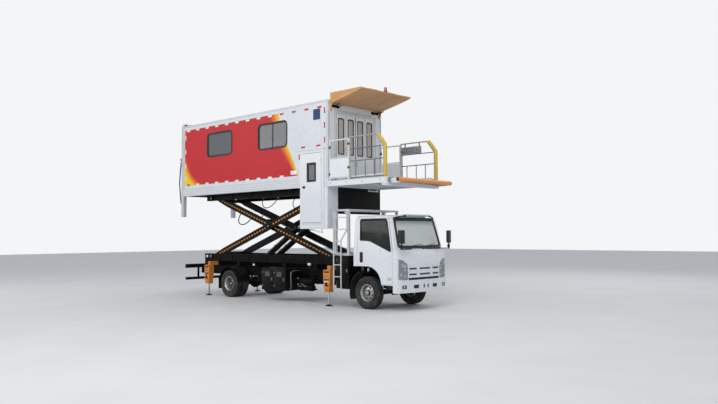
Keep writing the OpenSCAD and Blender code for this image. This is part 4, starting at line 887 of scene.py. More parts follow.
LAMP_COVER = pane("lamp_cover", "dfe4e8", 0.22)
close(bowl, "headlamp_bowls", "chassis", LAMP_BOWL, sharp=40)
close(glow, "headlamp_bulbs", "chassis", LENS_CLEAR)
close(amber, "turn_lamp_bulbs", "chassis", LENS_AMBER)
close(cover, "headlamp_covers", "chassis", LAMP_COVER, ("lamps",), sharp=50)

# Rear lamps: a black tray with red, amber and white lenses
tray, red, orange, clear = bmesh.new(), bmesh.new(), bmesh.new(), bmesh.new()
for side in (-1, 1):
    y = side * 0.8
    slab(tray, (-2.289, y - 0.16, 0.8), (-2.2803, y + 0.16, 0.9), 0.004)
    for part, a, b in ((red, 0.02, 0.155), (orange, -0.06, 0.012), (clear, -0.15, -0.068)):
        slab(part, (-2.296, y + side * a, 0.81), (-2.287, y + side * b, 0.89), 0.003)
    for yy in (y - 0.15, y + 0.15):
        rod(tray, (-2.289, yy, 0.895), (-2.292, yy, 0.895), 0.004, sides=8)
close(tray, "rear_lamp_trays", "chassis", PLASTIC)
close(red, "rear_red_lenses", "chassis", LENS_RED)
close(orange, "rear_amber_lenses", "chassis", LENS_AMBER)
close(clear, "rear_clear_lenses", "chassis", LENS_CLEAR)

# Bumper: dark backs behind its openings, fog lamps, and the joint lines of its ends
bm, fog = bmesh.new(), bmesh.new()
for y0, y1 in ((-0.84, -0.68), (-0.46, -0.26), (-0.11, 0.11), (0.26, 0.46), (0.68, 0.84)):
    face_plate(bm, face_band(y0, y1, 0.515, 0.62), 0.03, -0.018)
for y in (-0.40, -0.36, -0.32, 0.32, 0.36, 0.40):
    slab(bm, (face_x(y, 0.56) + 0.012, y - 0.004, 0.527), (face_x(y, 0.56) + 0.024, y + 0.004, 0.608), 0.001)
for y in (-0.075, 0.075):
    rod(bm, (face_x(y, 0.56) + 0.01, y, 0.567), (face_x(y, 0.56) + 0.024, y, 0.567), 0.02, sides=24)
for side in (-1, 1):
    x = face_x(0.76, 0.56) + 0.012
    turned(bm, [(0.034, 0.0), (0.038, 0.012), (0.034, 0.015), (0.03, 0.008)],
           (x, side * 0.76, 0.567), "X", 28)
    turned(fog, [(0.0, 0.014), (0.018, 0.012), (0.03, 0.008), (0.031, 0.0)],
           (x, side * 0.76, 0.567), "X", 28)
    slab(bm, (6.29, side * 0.9762 - 0.001, 0.44), (6.293, side * 0.9762 + 0.001, 0.595))
close(bm, "bumper_backs", "chassis", PLASTIC, sharp=40)
close(fog, "fog_lamps", "chassis", LENS_CLEAR)

# Wheel arch liners inside the cab's foot, the mudguards behind the front wheels and the door steps
bm = bmesh.new()
arch = [(5.12, 1.022), (5.4, 1.024), (5.52, 1.018), (5.652, 0.986), (5.768, 0.917), (5.855, 0.817),
        (5.904, 0.71), (5.918, 0.6), (5.92, 0.47)]
for side in (-1, 1):
    quads(bm, [[bm.verts.new((x, side * y, z)) for x, z in arch] for y in (0.5, 0.78)])
    back = [(FRONT_AXLE_X + a, TYRE_R + b) for a, b in [on_circle(0.565, t) for t in range(118, 200, 9)]]
    quads(bm, [[bm.verts.new((x, side * y, z)) for x, z in back] for y in (0.64, 0.93)])
bmesh.ops.recalc_face_normals(bm, faces=bm.faces)
bmesh.ops.solidify(bm, geom=bm.faces[:], thickness=0.006)
for side in (-1, 1):
    slab(bm, (5.95, side * 0.72 - 0.06, 0.5), (6.26, side * 0.72 + 0.06, 0.53), 0.008)
    for x in (5.99, 6.22):
        slab(bm, (x - 0.02, side * 0.67 - 0.012, 0.52), (x + 0.02, side * 0.67 + 0.012, 0.66), 0.003)
    slab(bm, (5.94, side * 0.79 - 0.008, 0.54), (6.27, side * 0.79 + 0.008, 0.64), 0.003)
    # brackets that carry the mudguards on the rails
    rod(bm, (4.93, side * 0.41, 0.72), (4.93, side * 0.80, 0.66), 0.014)
    slab(bm, (4.90, side * 0.405, 0.66), (4.96, side * 0.43, 0.78), 0.004)
close(bm, "arch_liners_and_steps", "chassis", PLASTIC, sharp=40)

# Mirrors: faces that look back, the joints of their stays, and a round black disc below
bm, face = bmesh.new(), bmesh.new()
for side in (-1, 1):
    post = Vector((6.538, side * 0.93, 0))
    ahead = Vector((math.cos(MIRROR_TURN), side * math.sin(MIRROR_TURN), 0))
    across = Vector((-side * math.sin(MIRROR_TURN), math.cos(MIRROR_TURN), 0))
    ring = rounded_corners(0.148, 0.284, 0.03)
    points = [post - ahead * 0.0382 + across * a + Vector((0, 0, 1.745 + b)) for a, b in ring]
    outline(face, points, -ahead * 0.0015)
    wide = rounded_corners(0.166, 0.302, 0.036)
    outer = [bm.verts.new(post - ahead * 0.0382 + across * a + Vector((0, 0, 1.745 + b))) for a, b in wide]
    inner = [bm.verts.new(p - ahead * 0.004) for p in points]
    for k in range(len(outer)):
        bm.faces.new((outer[k - 1], outer[k], inner[k], inner[k - 1]))
    for z in (1.459, 1.592):
        rod(bm, post + Vector((0, 0, z - 0.014)), post + Vector((0, 0, z + 0.014)), 0.021)
    for y in (0.6, 0.74):
        rod(bm, (face_x(y, 1.459) + 0.001, side * y, 1.459), (face_x(y, 1.459) + 0.012, side * y, 1.459),
            0.022, 0.015)
    low = post + Vector((-0.012, 0, 1.515))
    turned(bm, [(0.0, -0.014), (0.03, -0.013), (0.05, -0.004), (0.052, 0.008), (0.046, 0.012)], low, "X", 32)
close(bm, "mirror_fittings", "chassis", PLASTIC, sharp=40)
close(face, "mirror_faces", "chassis", MIRROR)

# Roof: the visor's ends, a short aerial and the door frames' drip pieces
bm = bmesh.new()
for side in (-1, 1):
    line = [(6.285, side * 0.47, 2.245), (6.262, side * 0.56, 2.236), (6.22, side * 0.68, 2.218),
            (6.165, side * 0.76, 2.196)]
    pipe(bm, curve_points(line, 4), 0.017, 10)
    rod(bm, (6.29, side * 0.462, 2.25), (6.26, side * 0.5, 2.243), 0.024)
pipe(bm, [(6.05, -0.70, 2.235), (5.98, -0.705, 2.252), (5.72, -0.708, 2.26)], 0.006, 8)
close(bm, "visor_ends", "chassis", PLASTIC, sharp=50)
for side, word in SIDES:
    bm = bmesh.new()
    y = side * (side_y(2.172) + 0.002)
    slab(bm, (5.60, y - 0.008, 2.168), (5.68, y + 0.008, 2.182), 0.004)
    pipe(bm, [(5.24, side * side_y(2.16), 2.186), (5.6, side * (side_y(2.16) - 0.001), 2.186),
              (6.0, side * (side_y(2.16) - 0.001), 2.184)], 0.005, 8)
    close(bm, f"door_drip_{word}", f"{word}_cab_door", PLASTIC)

# Seats: padded cushions and backs with side rolls and head rests
def cushion(bm, low, high, round_by, bulge):
    """A cushion: a cut-up block whose faces swell towards their middles."""
    low, high = Vector(low), Vector(high)
    part = bmesh.new()
    slab(part, low, high, round_by, 3)
    bmesh.ops.subdivide_edges(part, edges=[e for e in part.edges if e.calc_length() > 0.08], cuts=5,
                              use_grid_fill=True)
    middle, half = (low + high) / 2, (high - low) / 2
    for v in part.verts:
        t = [max(-1.0, min(1.0, (v.co[k] - middle[k]) / half[k])) for k in range(3)]
        for k in range(3):
            others = [t[j] for j in range(3) if j != k]
            v.co[k] += math.copysign(bulge,
                                     t[k]) * abs(t[k]) ** 4 * (1 - others[0] ** 2) * (1 - others[1] ** 2)
    merged(bm, part)


bm, legs = bmesh.new(), bmesh.new()
for y in (-0.52, 0.04, 0.5):
    half = 0.2
    cushion(bm, (5.28, y - half, 1.245), (5.75, y + half, 1.385), 0.035, 0.012)
    cushion(bm, (5.18, y - half + 0.01, 1.36), (5.285, y + half - 0.01, 1.80), 0.032, 0.014)
    cushion(bm, (5.185, y - 0.12, 1.81), (5.27, y + 0.12, 1.94), 0.03, 0.006)
    for side in (-1, 1):
        line = [(5.34, y + side * 0.186, 1.372), (5.55, y + side * 0.19, 1.378),
                (5.70, y + side * 0.184, 1.366)]
        pipe(bm, curve_points(line, 4), 0.016, 10)
        rod(legs, (5.225, y + side * 0.05, 1.78), (5.225, y + side * 0.05, 1.83), 0.006)
    slab(legs, (5.29, y - 0.19, 1.073), (5.73, y + 0.19, 1.25), 0.012)
    for side in (-1, 1):
        slab(legs, (5.24, y + side * 0.196 - 0.006, 1.20), (5.42, y + side * 0.196 + 0.006, 1.27), 0.004)
seats = close(bm, "cab_seats", "chassis", SEAT, sharp=60)
close(legs, "seat_bases", "chassis", PLASTIC)

# Dashboard, steering wheel and column; this and the seats take the place of the plain fittings
bm = bmesh.new()
section = [(6.255, 1.33), (6.03, 1.34), (6.02, 1.40), (6.05, 1.455), (6.11, 1.485), (6.2, 1.50),
           (6.27, 1.478), (6.278, 1.40)]
for y0, y1 in ((-0.815, 0.28), (0.28, 0.72), (0.72, 0.815)):
    lift = 0.02 if y0 == 0.28 else 0.0
    points = [(x - (0.03 if lift and x < 6.1 else 0), y0, z + (lift if z > 1.45 else 0)) for x, z in section]
    outline(bm, points, (0, y1 - y0, 0))
bmesh.ops.bevel(bm, geom=[e for e in bm.edges if abs(e.verts[0].co.y - e.verts[1].co.y) > 0.05],
                offset=0.008, segments=2, profile=0.5, affect="EDGES", material=-1)
slab(bm, (6.16, -0.8, 1.08), (6.27, 0.8, 1.34), 0.02)
slab(bm, (6.04, -0.12, 1.15), (6.17, 0.16, 1.36), 0.02)
for y in (-0.55, -0.1, 0.1, 0.75):
    slab(bm, (6.008, y - 0.05, 1.395), (6.03, y + 0.05, 1.43), 0.006)
middle = Vector((5.935, 0.5, 1.54))
lean = Matrix.Rotation(math.radians(-35), 3, "Y")
ring = [middle + lean @ Vector((*on_circle(0.198, 9 * k), 0.013)) for k in range(41)]
pipe(bm, ring, 0.014, 10)
rod(bm, middle, middle + lean @ Vector((0, 0, 0.026)), 0.05, 0.04, 28)
rod(bm, middle + lean @ Vector((0, 0, -0.2)), middle, 0.034, 0.028)
for a in (30, 150, 270):
    tip = middle + lean @ Vector((*on_circle(0.19, a), 0.012))
    pipe(bm, [middle + (tip - middle) * 0.15, middle + (tip - middle) * 0.6 + Vector((0, 0, -0.006)), tip],
         0.011, 8)
rod(bm, (5.98, 0.12, 1.36), (5.94, 0.13, 1.46), 0.008)
turned(bm, [(0.0, 0.03), (0.014, 0.026), (0.018, 0.01), (0.012, -0.005)], (5.939, 0.13, 1.462), "Z", 16)
close(bm, "dashboard", "chassis", GREY_PLASTIC, ("cab_fittings",), sharp=40)

# Rear window of the cab
bm = bmesh.new()
ring = rounded_corners(0.984, 0.414, 0.055)
outline(bm, [(5.062, a, 1.775 + b) for a, b in ring], (0.005, 0, 0))
close(bm, "rear_pane", "chassis", REAR_GLASS)
bm = bmesh.new()
frame_ring(bm, (5.034, 0, 1.775), 1.02, 0.45, 0.07, 0.025, 0.05, "X")
close(bm, "rear_pane_seal", "chassis", SEAL)

# Chassis

# The power pack's box: two doors with round hinges, latches and vents
bm, lid = bmesh.new(), bmesh.new()
for x0, x1 in ((1.545, 2.015), (2.035, 2.505)):
    slab(lid, (x0, -0.9895, 0.33), (x1, -0.984, 0.87), 0.002)
    for z in (0.42, 0.78):
        rod(bm, (x0 + 0.02, -0.986, z), (x0 + 0.02, -0.996, z), 0.022, 0.018)
    frame_ring(bm, (x1 - 0.06, -0.9885, 0.6), 0.05, 0.09, 0.012, 0.01, -0.006)
    rod(bm, (x1 - 0.06, -0.989, 0.6), (x1 - 0.06, -0.9945, 0.6), 0.012, sides=16)
    for k in range(6):
        slab(bm, (x0 + 0.12, -0.9925, 0.68 + 0.022 * k), (x0 + 0.32, -0.988, 0.688 + 0.022 * k), 0.001)
close(lid, "pack_doors", "chassis", BOX_BLACK)
close(bm, "pack_door_fittings", "chassis", STEEL)

# Fuel tank straps and cap; the air tanks beside the right rail
bm = bmesh.new()
for x in (2.08, 2.62):
    line = rounded_corners(0.436, 0.456, 0.093)
    ring = [(x, 0.755 + a, 0.605 + b) for a, b in line]
    pipe(bm, ring + ring[:1], 0.008, 6)
rod(bm, (1.98, 0.86, 0.82), (1.98, 0.86, 0.86), 0.045, 0.04, 28)
for x0, z in ((2.72, 0.56), (2.72, 0.40)):
    turned(bm, [(0.0, -0.03), (0.05, -0.022), (0.085, 0.0), (0.088, 0.02), (0.088, 0.54), (0.085, 0.56),
                (0.05, 0.582), (0.0, 0.59)], (x0, -0.66, z), "X", 32)
    for x in (x0 + 0.1, x0 + 0.44):
        ring = [(x, a - 0.66, z + b) for a, b in [on_circle(0.091, 15 * k) for k in range(25)]]
        pipe(bm, ring, 0.005, 6)
for x in (2.82, 3.16):
    slab(bm, (x - 0.015, -0.60, 0.32), (x + 0.015, -0.424, 0.36), 0.003)
    slab(bm, (x - 0.015, -0.58, 0.34), (x + 0.015, -0.566, 0.72), 0.003)
    slab(bm, (x - 0.015, -0.575, 0.69), (x + 0.015, -0.424, 0.72), 0.003)
close(bm, "tanks", "chassis", CHASSIS_BLACK, sharp=40)

# Bright pipes and valves ahead of the box
bm = bmesh.new()
pipe(bm, curve_points([(2.66, -0.80, 0.83), (2.66, -0.905, 0.79), (2.665, -0.915, 0.6), (2.66, -0.905, 0.42),
                       (2.62, -0.9, 0.34)], 5), 0.014, 10)
for x, z in ((2.84, 0.46), (2.95, 0.5), (3.05, 0.47)):
    rod(bm, (x, -0.742, z), (x, -0.80, z), 0.02, 0.016, 12)
    pipe(bm, curve_points([(x, -0.79, z), (x + 0.04, -0.82, z - 0.03), (x + 0.12, -0.80, z - 0.02)], 4),
         0.007, 8)
slab(bm, (2.62, -0.83, 0.83), (2.70, -0.62, 0.845), 0.002)
close(bm, "pipes_and_valves", "chassis", STEEL)

# Rear side lamp, side marker and the work lamp of the chassis
bm, case = bmesh.new(), bmesh.new()
for side in (-1, 1):
    near, far = side * 0.652, side * 0.6425
    slab(bm, (0.70, near, 0.925), (0.78, far, 0.975), 0.004)
    slab(bm, (-1.62, near, 1.13), (-1.53, far, 1.2), 0.004)
    slab(case, (0.68, side * 0.6445, 0.915), (0.80, side * 0.6402, 0.985), 0.001)
    # a small work lamp on its bracket, tilted down
    slab(case, (3.09, side * 0.641, 0.94), (3.17, side * 0.665, 0.955), 0.003)
    rod(case, (3.13, side * 0.655, 0.95), (3.13, side * 0.672, 1.0), 0.008)
    slab(bm, (3.08, side * 0.655, 0.99), (3.18, side * 0.70, 1.055), 0.01)
close(bm, "side_markers", "chassis", LENS_CLEAR)
close(case, "side_marker_trays", "chassis", PLASTIC)

# Stabilisers: rod seals, dark marks, a white plate on the front pair, valve caps, bolts and round feet
bm, ring, plate = bmesh.new(), bmesh.new(), bmesh.new()
for x in LEG_X:
    for side in (-1, 1):
        y = side * LEG_Y
        turned(ring, [(0.031, 0.0), (0.044, 0.001), (0.046, 0.004), (0.046, 0.012), (0.031, 0.0125)],
               (x, y, 0.3485), "Z", 28)
        for z, w in ((0.86, 0.17), (0.66, 0.17), (0.52, 0.13)):
            slab(bm, (x - w / 2, y + side * 0.0852 - 0.001, z - 0.018),
                 (x + w / 2, y + side * 0.0852 + 0.001, z + 0.018))
        outline(bm, [(x - 0.06, y + side * LEG_FACE, 0.56), (x - 0.02, y + side * LEG_FACE, 0.62),
                     (x + 0.03, y + side * LEG_FACE, 0.6),
                     (x + 0.01, y + side * LEG_FACE, 0.55), (x + 0.05, y + side * LEG_FACE, 0.5),
                     (x - 0.03, y + side * LEG_FACE, 0.5)],
                (0, side * 0.001, 0))
        if x > 0:
            slab(plate, (x - 0.075, y + side * LEG_FACE - 0.001, 0.60),
                 (x + 0.075, y + side * LEG_FACE + 0.001, 0.64))
        rod(ring, (x, y + side * 0.08, 0.76), (x, y + side * 0.1, 0.76), 0.022, 0.018, 16)
        for dx in (-0.095, 0.095):
            for z in (0.70, 0.89):
                rod(ring, (x + dx, y + side * 0.084, z), (x + dx, y + side * 0.094, z), 0.012, sides=6)
close(bm, "stabiliser_marks", "chassis", BOX_BLACK)
close(plate, "stabiliser_plates", "chassis", TAPE_WHITE)
close(ring, "stabiliser_fittings", "chassis", STEEL)
for x, body, node in ((LEG_X[0], "rear_stabilisers", "rear_stabiliser_legs"),
                      (LEG_X[1], "front_stabilisers", "front_stabiliser_legs")):
    bm, foot = bmesh.new(), bmesh.new()
    for side in (-1, 1):
        centre = (x, side * LEG_Y, 0.0)
        turned(bm, [(0.0, 0.03), (0.03, 0.03), (0.03, 0.54), (0.0, 0.54)], centre, "Z", 40)
        turned(foot, [(0.0, 0.0), (0.09, 0.0), (0.095, 0.004), (0.095, 0.014), (0.088, 0.018),
                      (0.055, 0.02), (0.05, 0.034), (0.036, 0.04), (0.0305, 0.044)], centre, "Z", 40)
        for k in range(4):
            a, b = on_circle(0.072, 45 + 90 * k)
            rod(foot, (x + a, side * LEG_Y + b, 0.016), (x + a, side * LEG_Y + b, 0.026), 0.009, sides=6)
    close(bm, node + "_turned", body, CHROME, (node,), sharp=40)
    close(foot, body + "_feet", body, IRON, sharp=40)

# The mudflaps' rods, brake chambers and the exhaust
bm = bmesh.new()
for side in (-1, 1):
    pipe(bm, [(-0.494, side * 0.56, 0.53), (-0.494, side * 0.98, 0.53)], 0.01, 8)
    for x, y, z in ((0.16, 0.42, 0.39), (5.27, 0.52, 0.42)):
        turned(bm, [(0.0, -0.07), (0.05, -0.065), (0.068, -0.04), (0.075, 0.0), (0.068, 0.03), (0.04, 0.06),
                    (0.0, 0.065)],
               (x, side * y, z), "X", 28)
turned(bm, [(0.0, -0.28), (0.07, -0.27), (0.1, -0.24), (0.1, 0.24), (0.07, 0.27), (0.0, 0.28)],
       (3.4, 0.22, 0.52), "X", 32)
pipe(bm, curve_points([(4.9, 0.25, 0.62), (4.4, 0.22, 0.56), (3.66, 0.22, 0.52)], 4), 0.03, 12)
pipe(bm, curve_points([(3.14, 0.22, 0.52), (2.95, 0.26, 0.5), (2.9, 0.42, 0.48), (2.9, 0.62, 0.46)], 5),
     0.03, 12)
close(bm, "exhaust_and_chambers", "chassis", IRON, sharp=40)

# Landing behind the cab: an open grating
bm = bmesh.new()
for k in range(23):
    y = -0.92 + 1.84 * k / 22
    slab(bm, (4.36, y - 0.003, LANDING_Z + 0.0005), (4.835, y + 0.003, LANDING_Z + 0.014), 0.001)
for k in range(6):
    x = 4.37 + 0.455 * k / 5
    rod(bm, (x, -0.925, LANDING_Z + 0.008), (x, 0.925, LANDING_Z + 0.008), 0.004, sides=8)
close(bm, "landing_grating", "chassis", STEEL)

# Scissor lift

def on_arm(inner, s, off=0.0):
    """X and Z of a point at s along an arm from its rear pin, off above its centre line."""
    a = -LIFT_ANGLE if inner else LIFT_ANGLE
    z = TOP_PIN_Z if inner else LOW_PIN_Z
    return PIVOT_X + s * math.cos(a) - off * math.sin(a), z + s * math.sin(a) + off * math.cos(a)


def arm_plate(bm, inner, side, y, t, corners):
    """A flat plate on an arm, its corners given as (along, above) pairs, from |y| outwards by t."""
    points = [(x, side * y, z) for x, z in (on_arm(inner, s, off) for s, off in corners)]
    outline(bm, points, (0, side * t, 0))


def arm_ring(bm, inner, side, y, s, profile, off=0.0, steps=28):
    """Turns a profile about a pin of an arm; its second value is measured outwards from |y|."""
    x, z = on_arm(inner, s, off)
    turned(bm, [(r, side * t) for r, t in profile], (x, side * y, z), "Y", steps)


OUTER_FACE, INNER_FACE = OUTER_ARM_Y + ARM_T, INNER_ARM_Y + ARM_T
HALF = ARM_LEN / 2

# Reflective dashes along both arm pairs
for inner, body, word in ((False, "outer_scissor_arms", "outer"), (True, "inner_scissor_arms", "inner")):
    bm = bmesh.new()
    face = INNER_FACE if inner else OUTER_FACE
    for side in (-1, 1):
        s = 0.28
        while s < ARM_LEN - 0.24:
            if abs(s - HALF) > (0.16 if not inner else 0.05):
                arm_plate(bm, inner, side, face + 0.0002, 0.0012,
                          [(s + a + b * 0.35, b) for a, b in rounded_corners(0.074, 0.036, 0.012, 3)])
            s += 0.128
    close(bm, f"{word}_arm_dashes", body, TAPE_ORANGE, sharp=60)

# Cover strips along the arms' edges, doubler plates, pin caps with keepers, and collars at the rollers
bm, cap = bmesh.new(), bmesh.new()
for side in (-1, 1):
    for edge in (-1, 1):
        arm_plate(bm, False, side, OUTER_FACE, 0.004, [(0.5, edge * 0.098), (ARM_LEN - 0.5, edge * 0.098),
                                                      (ARM_LEN - 0.5, edge * 0.078), (0.5, edge * 0.078)])
        taper = [(0.06, edge * 0.064), (0.5, edge * 0.098), (0.5, edge * 0.078), (0.08, edge * 0.046)]
        arm_plate(bm, False, side, OUTER_FACE, 0.004, taper)
        arm_plate(bm, False, side, OUTER_FACE, 0.004, [(ARM_LEN - s, off) for s, off in taper])
    arm_plate(bm, False, side, OUTER_FACE, 0.006, [(HALF - 0.13, -0.07), (HALF + 0.13, -0.07),
                                                   (HALF + 0.17, 0.0),
                                                  (HALF + 0.13, 0.07), (HALF - 0.13, 0.07),
                                                   (HALF - 0.17, 0.0)])
    arm_ring(bm, False, side, OUTER_FACE, HALF, [(0.0, 0.026), (0.05, 0.026), (0.056, 0.022), (0.058, 0.0)])
    arm_ring(bm, False, side, OUTER_FACE, 0.0, [(0.036, 0.005), (0.06, 0.005), (0.062, 0.0)])
    arm_ring(bm, False, side, OUTER_FACE, ARM_LEN, [(0.028, 0.022), (0.042, 0.022), (0.048, 0.0)])
    arm_plate(cap, False, side, OUTER_FACE + 0.024, 0.008,
              [(HALF + a, b) for a, b in rounded_corners(0.09, 0.03, 0.008)])
    for a in (-0.032, 0.032):
        arm_ring(cap, False, side, OUTER_FACE + 0.03, HALF + a,
                 [(0.0, 0.008), (0.009, 0.008), (0.009, 0.0)], 0.0, 6)
    arm_ring(cap, False, side, OUTER_FACE + 0.024, HALF, [(0.0, 0.02), (0.003, 0.018), (0.005, 0.012),
                                                          (0.005, 0.0)], 0.022, 10)
close(bm, "outer_arm_plates", "outer_scissor_arms", ARM_BLACK, sharp=40)
close(cap, "outer_arm_keepers", "outer_scissor_arms", STEEL, sharp=40)

bm, cap = bmesh.new(), bmesh.new()
for side in (-1, 1):
    for edge in (-1, 1):
        for a, b in ((0.5, HALF - 0.36), (HALF + 0.36, ARM_LEN - 0.5)):
            arm_plate(bm, True, side, INNER_FACE, 0.004,
                      [(a, edge * 0.098), (b, edge * 0.098), (b, edge * 0.078),
                                                         (a, edge * 0.078)])
    arm_ring(bm, True, side, INNER_FACE, 0.0, [(0.036, 0.005), (0.06, 0.005), (0.062, 0.0)])
    arm_ring(bm, True, side, INNER_FACE, ARM_LEN, [(0.028, 0.022), (0.042, 0.022), (0.048, 0.0)])
    # pipes clipped along the inside of the arms
    for off in (-0.068, -0.086):
        ends = [on_arm(True, s, off) for s in (0.34, HALF - 0.2, ARM_LEN - 0.34)]
        pipe(cap, [(x, side * (INNER_ARM_Y - 0.012), z) for x, z in ends], 0.007, 8)
    for k in range(9):
        s = 0.42 + 0.58 * k
        x, z = on_arm(True, s, -0.077)
        slab(bm, (x - 0.02, side * (INNER_ARM_Y - 0.022), z - 0.024),
             (x + 0.02, side * INNER_ARM_Y, z + 0.024), 0.004)
close(bm, "inner_arm_plates", "inner_scissor_arms", ARM_BLACK, sharp=40)
close(cap, "inner_arm_pipes", "inner_scissor_arms", STEEL, sharp=40)

# Pivot blocks of the chassis and of the cabin, and the ribs on both pairs of channels
def pivot_block(plate, cap, side, z):
    """The plate over a fixed pin's block, and the cap of the pin."""
    y = side * TRACK_FACE_Y
    corners = rounded_corners(0.2, 0.15, 0.03)
    outline(plate, [(PIVOT_X + a, y, z + b) for a, b in corners], (0, side * 0.01, 0))
    turned(cap, [(0.0, side * 0.03), (0.034, side * 0.03), (0.038, side * 0.024), (0.038, 0.0)],
           (PIVOT_X, y + side * 0.01, z), "Y", 28)


bm, cap = bmesh.new(), bmesh.new()
for side in (-1, 1):
    y = side * TRACK_FACE_Y
    pivot_block(bm, cap, side, LOW_PIN_Z)
    for a in range(6):
        x, z = on_circle(0.055, 60 * a + 30)
        x, z = PIVOT_X + x, LOW_PIN_Z + z
        rod(cap, (x, y + side * 0.01, z), (x, y + side * 0.018, z), 0.008, sides=6)
    for x in (-1.56, -0.9, -0.3, 0.5, 1.3, 2.1, 2.9, 3.6, 4.0):
        slab(bm, (x - 0.008, y, 1.03), (x + 0.008, y + side * 0.008, 1.246), 0.002)
close(bm, "lower_pivot_blocks", "chassis", CHASSIS_BLACK, sharp=40)
close(cap, "lower_pivot_caps", "chassis", STEEL, sharp=40)
bm, cap = bmesh.new(), bmesh.new()
for side in (-1, 1):
    y = side * TRACK_FACE_Y
    pivot_block(bm, cap, side, TOP_PIN_Z)
    for x in (-1.2, -0.3, 0.6, 1.5, 2.4, 3.3):
        slab(bm, (x - 0.008, y, 2.887), (x + 0.008, y + side * 0.008, 3.043), 0.002)
close(bm, "upper_pivot_blocks", "cabin", CHASSIS_BLACK, sharp=40)
close(cap, "upper_pivot_caps", "cabin", STEEL, sharp=40)

# Lift cylinders: end rings, glands, ports with their pipes and clips, and wiper rings
RAM_X, RAM_Y, RAM_Z, BARREL = PIVOT_X + 2.06, 0.2, 1.12, 1.75
RAM_ANGLE = math.radians(30.8306)


def on_ram(s, off=0.0):
    return (RAM_X + s * math.cos(RAM_ANGLE) - off * math.sin(RAM_ANGLE),
            RAM_Z + s * math.sin(RAM_ANGLE) + off * math.cos(RAM_ANGLE))


bm, bright = bmesh.new(), bmesh.new()
for side in (-1, 1):
    def ram_ring(part, s0, s1, r):
        (xa, za), (xb, zb) = on_ram(s0), on_ram(s1)
        rod(part, (xa, side * RAM_Y, za), (xb, side * RAM_Y, zb), r, r - 0.004, 32)
    ram_ring(bm, 0.16, 0.092, 0.083)
    ram_ring(bm, 0.16, 0.2, 0.083)
    ram_ring(bm, BARREL - 0.16, BARREL - 0.06, 0.079)
    ram_ring(bright, BARREL, BARREL + 0.012, 0.062)
    for s in (0.24, BARREL - 0.11):
        (xa, za), (xb, zb) = on_ram(s, 0.06), on_ram(s, 0.10)
        rod(bright, (xa, side * RAM_Y, za), (xb, side * RAM_Y, zb), 0.018, sides=6)
    path = [on_ram(0.24, 0.1), on_ram(0.26, 0.104), on_ram(0.34, 0.098), on_ram(BARREL - 0.3, 0.098),
            on_ram(BARREL - 0.14, 0.102), on_ram(BARREL - 0.11, 0.098)]
    pipe(bright, [(x, side * RAM_Y, z) for x, z in path], 0.008, 8)
    for s in (0.6, 1.15):
        (x, z) = on_ram(s, 0.088)
        slab(bm, (x - 0.022, side * RAM_Y - 0.02, z - 0.02),
             (x + 0.022, side * RAM_Y + 0.02, z + 0.022), 0.005)
close(bm, "cylinder_rings", "cylinder_barrels", ARM_BLACK, sharp=40)
close(bright, "cylinder_ports", "cylinder_barrels", STEEL, sharp=40)


def hose(name, body, points, diameter):
    """A free hose along a smooth line, with a crimped fitting at each end."""
    points = [Vector(p) for p in curve_points(points, 6)]
    curve = bpy.data.curves.new(name, "CURVE")
    curve.dimensions = "3D"
    curve.bevel_depth = diameter / 2
    curve.bevel_resolution = 4
    curve.use_fill_caps = True
    line = curve.splines.new("POLY")
    line.points.add(len(points) - 1)
    for spot, p in zip(line.points, points):
        spot.co = (p.x - MIDDLE, p.y, p.z, 1.0)
    line.use_smooth = True
    curve.materials.append(HOSE)
    obj = put(name, curve)
    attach(obj, body)
    bm = bmesh.new()
    for a, b in ((points[0], points[2]), (points[-1], points[-3])):
        way = (b - a).normalized()
        rod(bm, a - way * 0.012, a + way * 0.03, diameter * 0.72, diameter * 0.66, 16)
        rod(bm, a + way * 0.03, a + way * 0.04, diameter * 0.66, diameter * 0.53, 16)
        rod(bm, a - way * 0.02, a - way * 0.004, diameter * 0.86, sides=6)
    fittings = close(bm, name + "_fittings", body, STEEL, sharp=40)


# Hoses at the knee: each hangs from its inner arm in a loop, both ends on that arm
for name, y in (("knee_hose_a", -0.437), ("knee_hose_b", 0.437)):
    turn = [math.pi * k / 10 for k in range(11)]
    places = [on_arm(True, 1.56 - 0.25 * math.cos(a) - 0.16 * math.sin(a), -0.088 - 0.3 * math.sin(a))
              for a in turn]
    hose(name, "inner_scissor_arms", [(x, y, z) for x, z in places], 0.03)

# Cabin

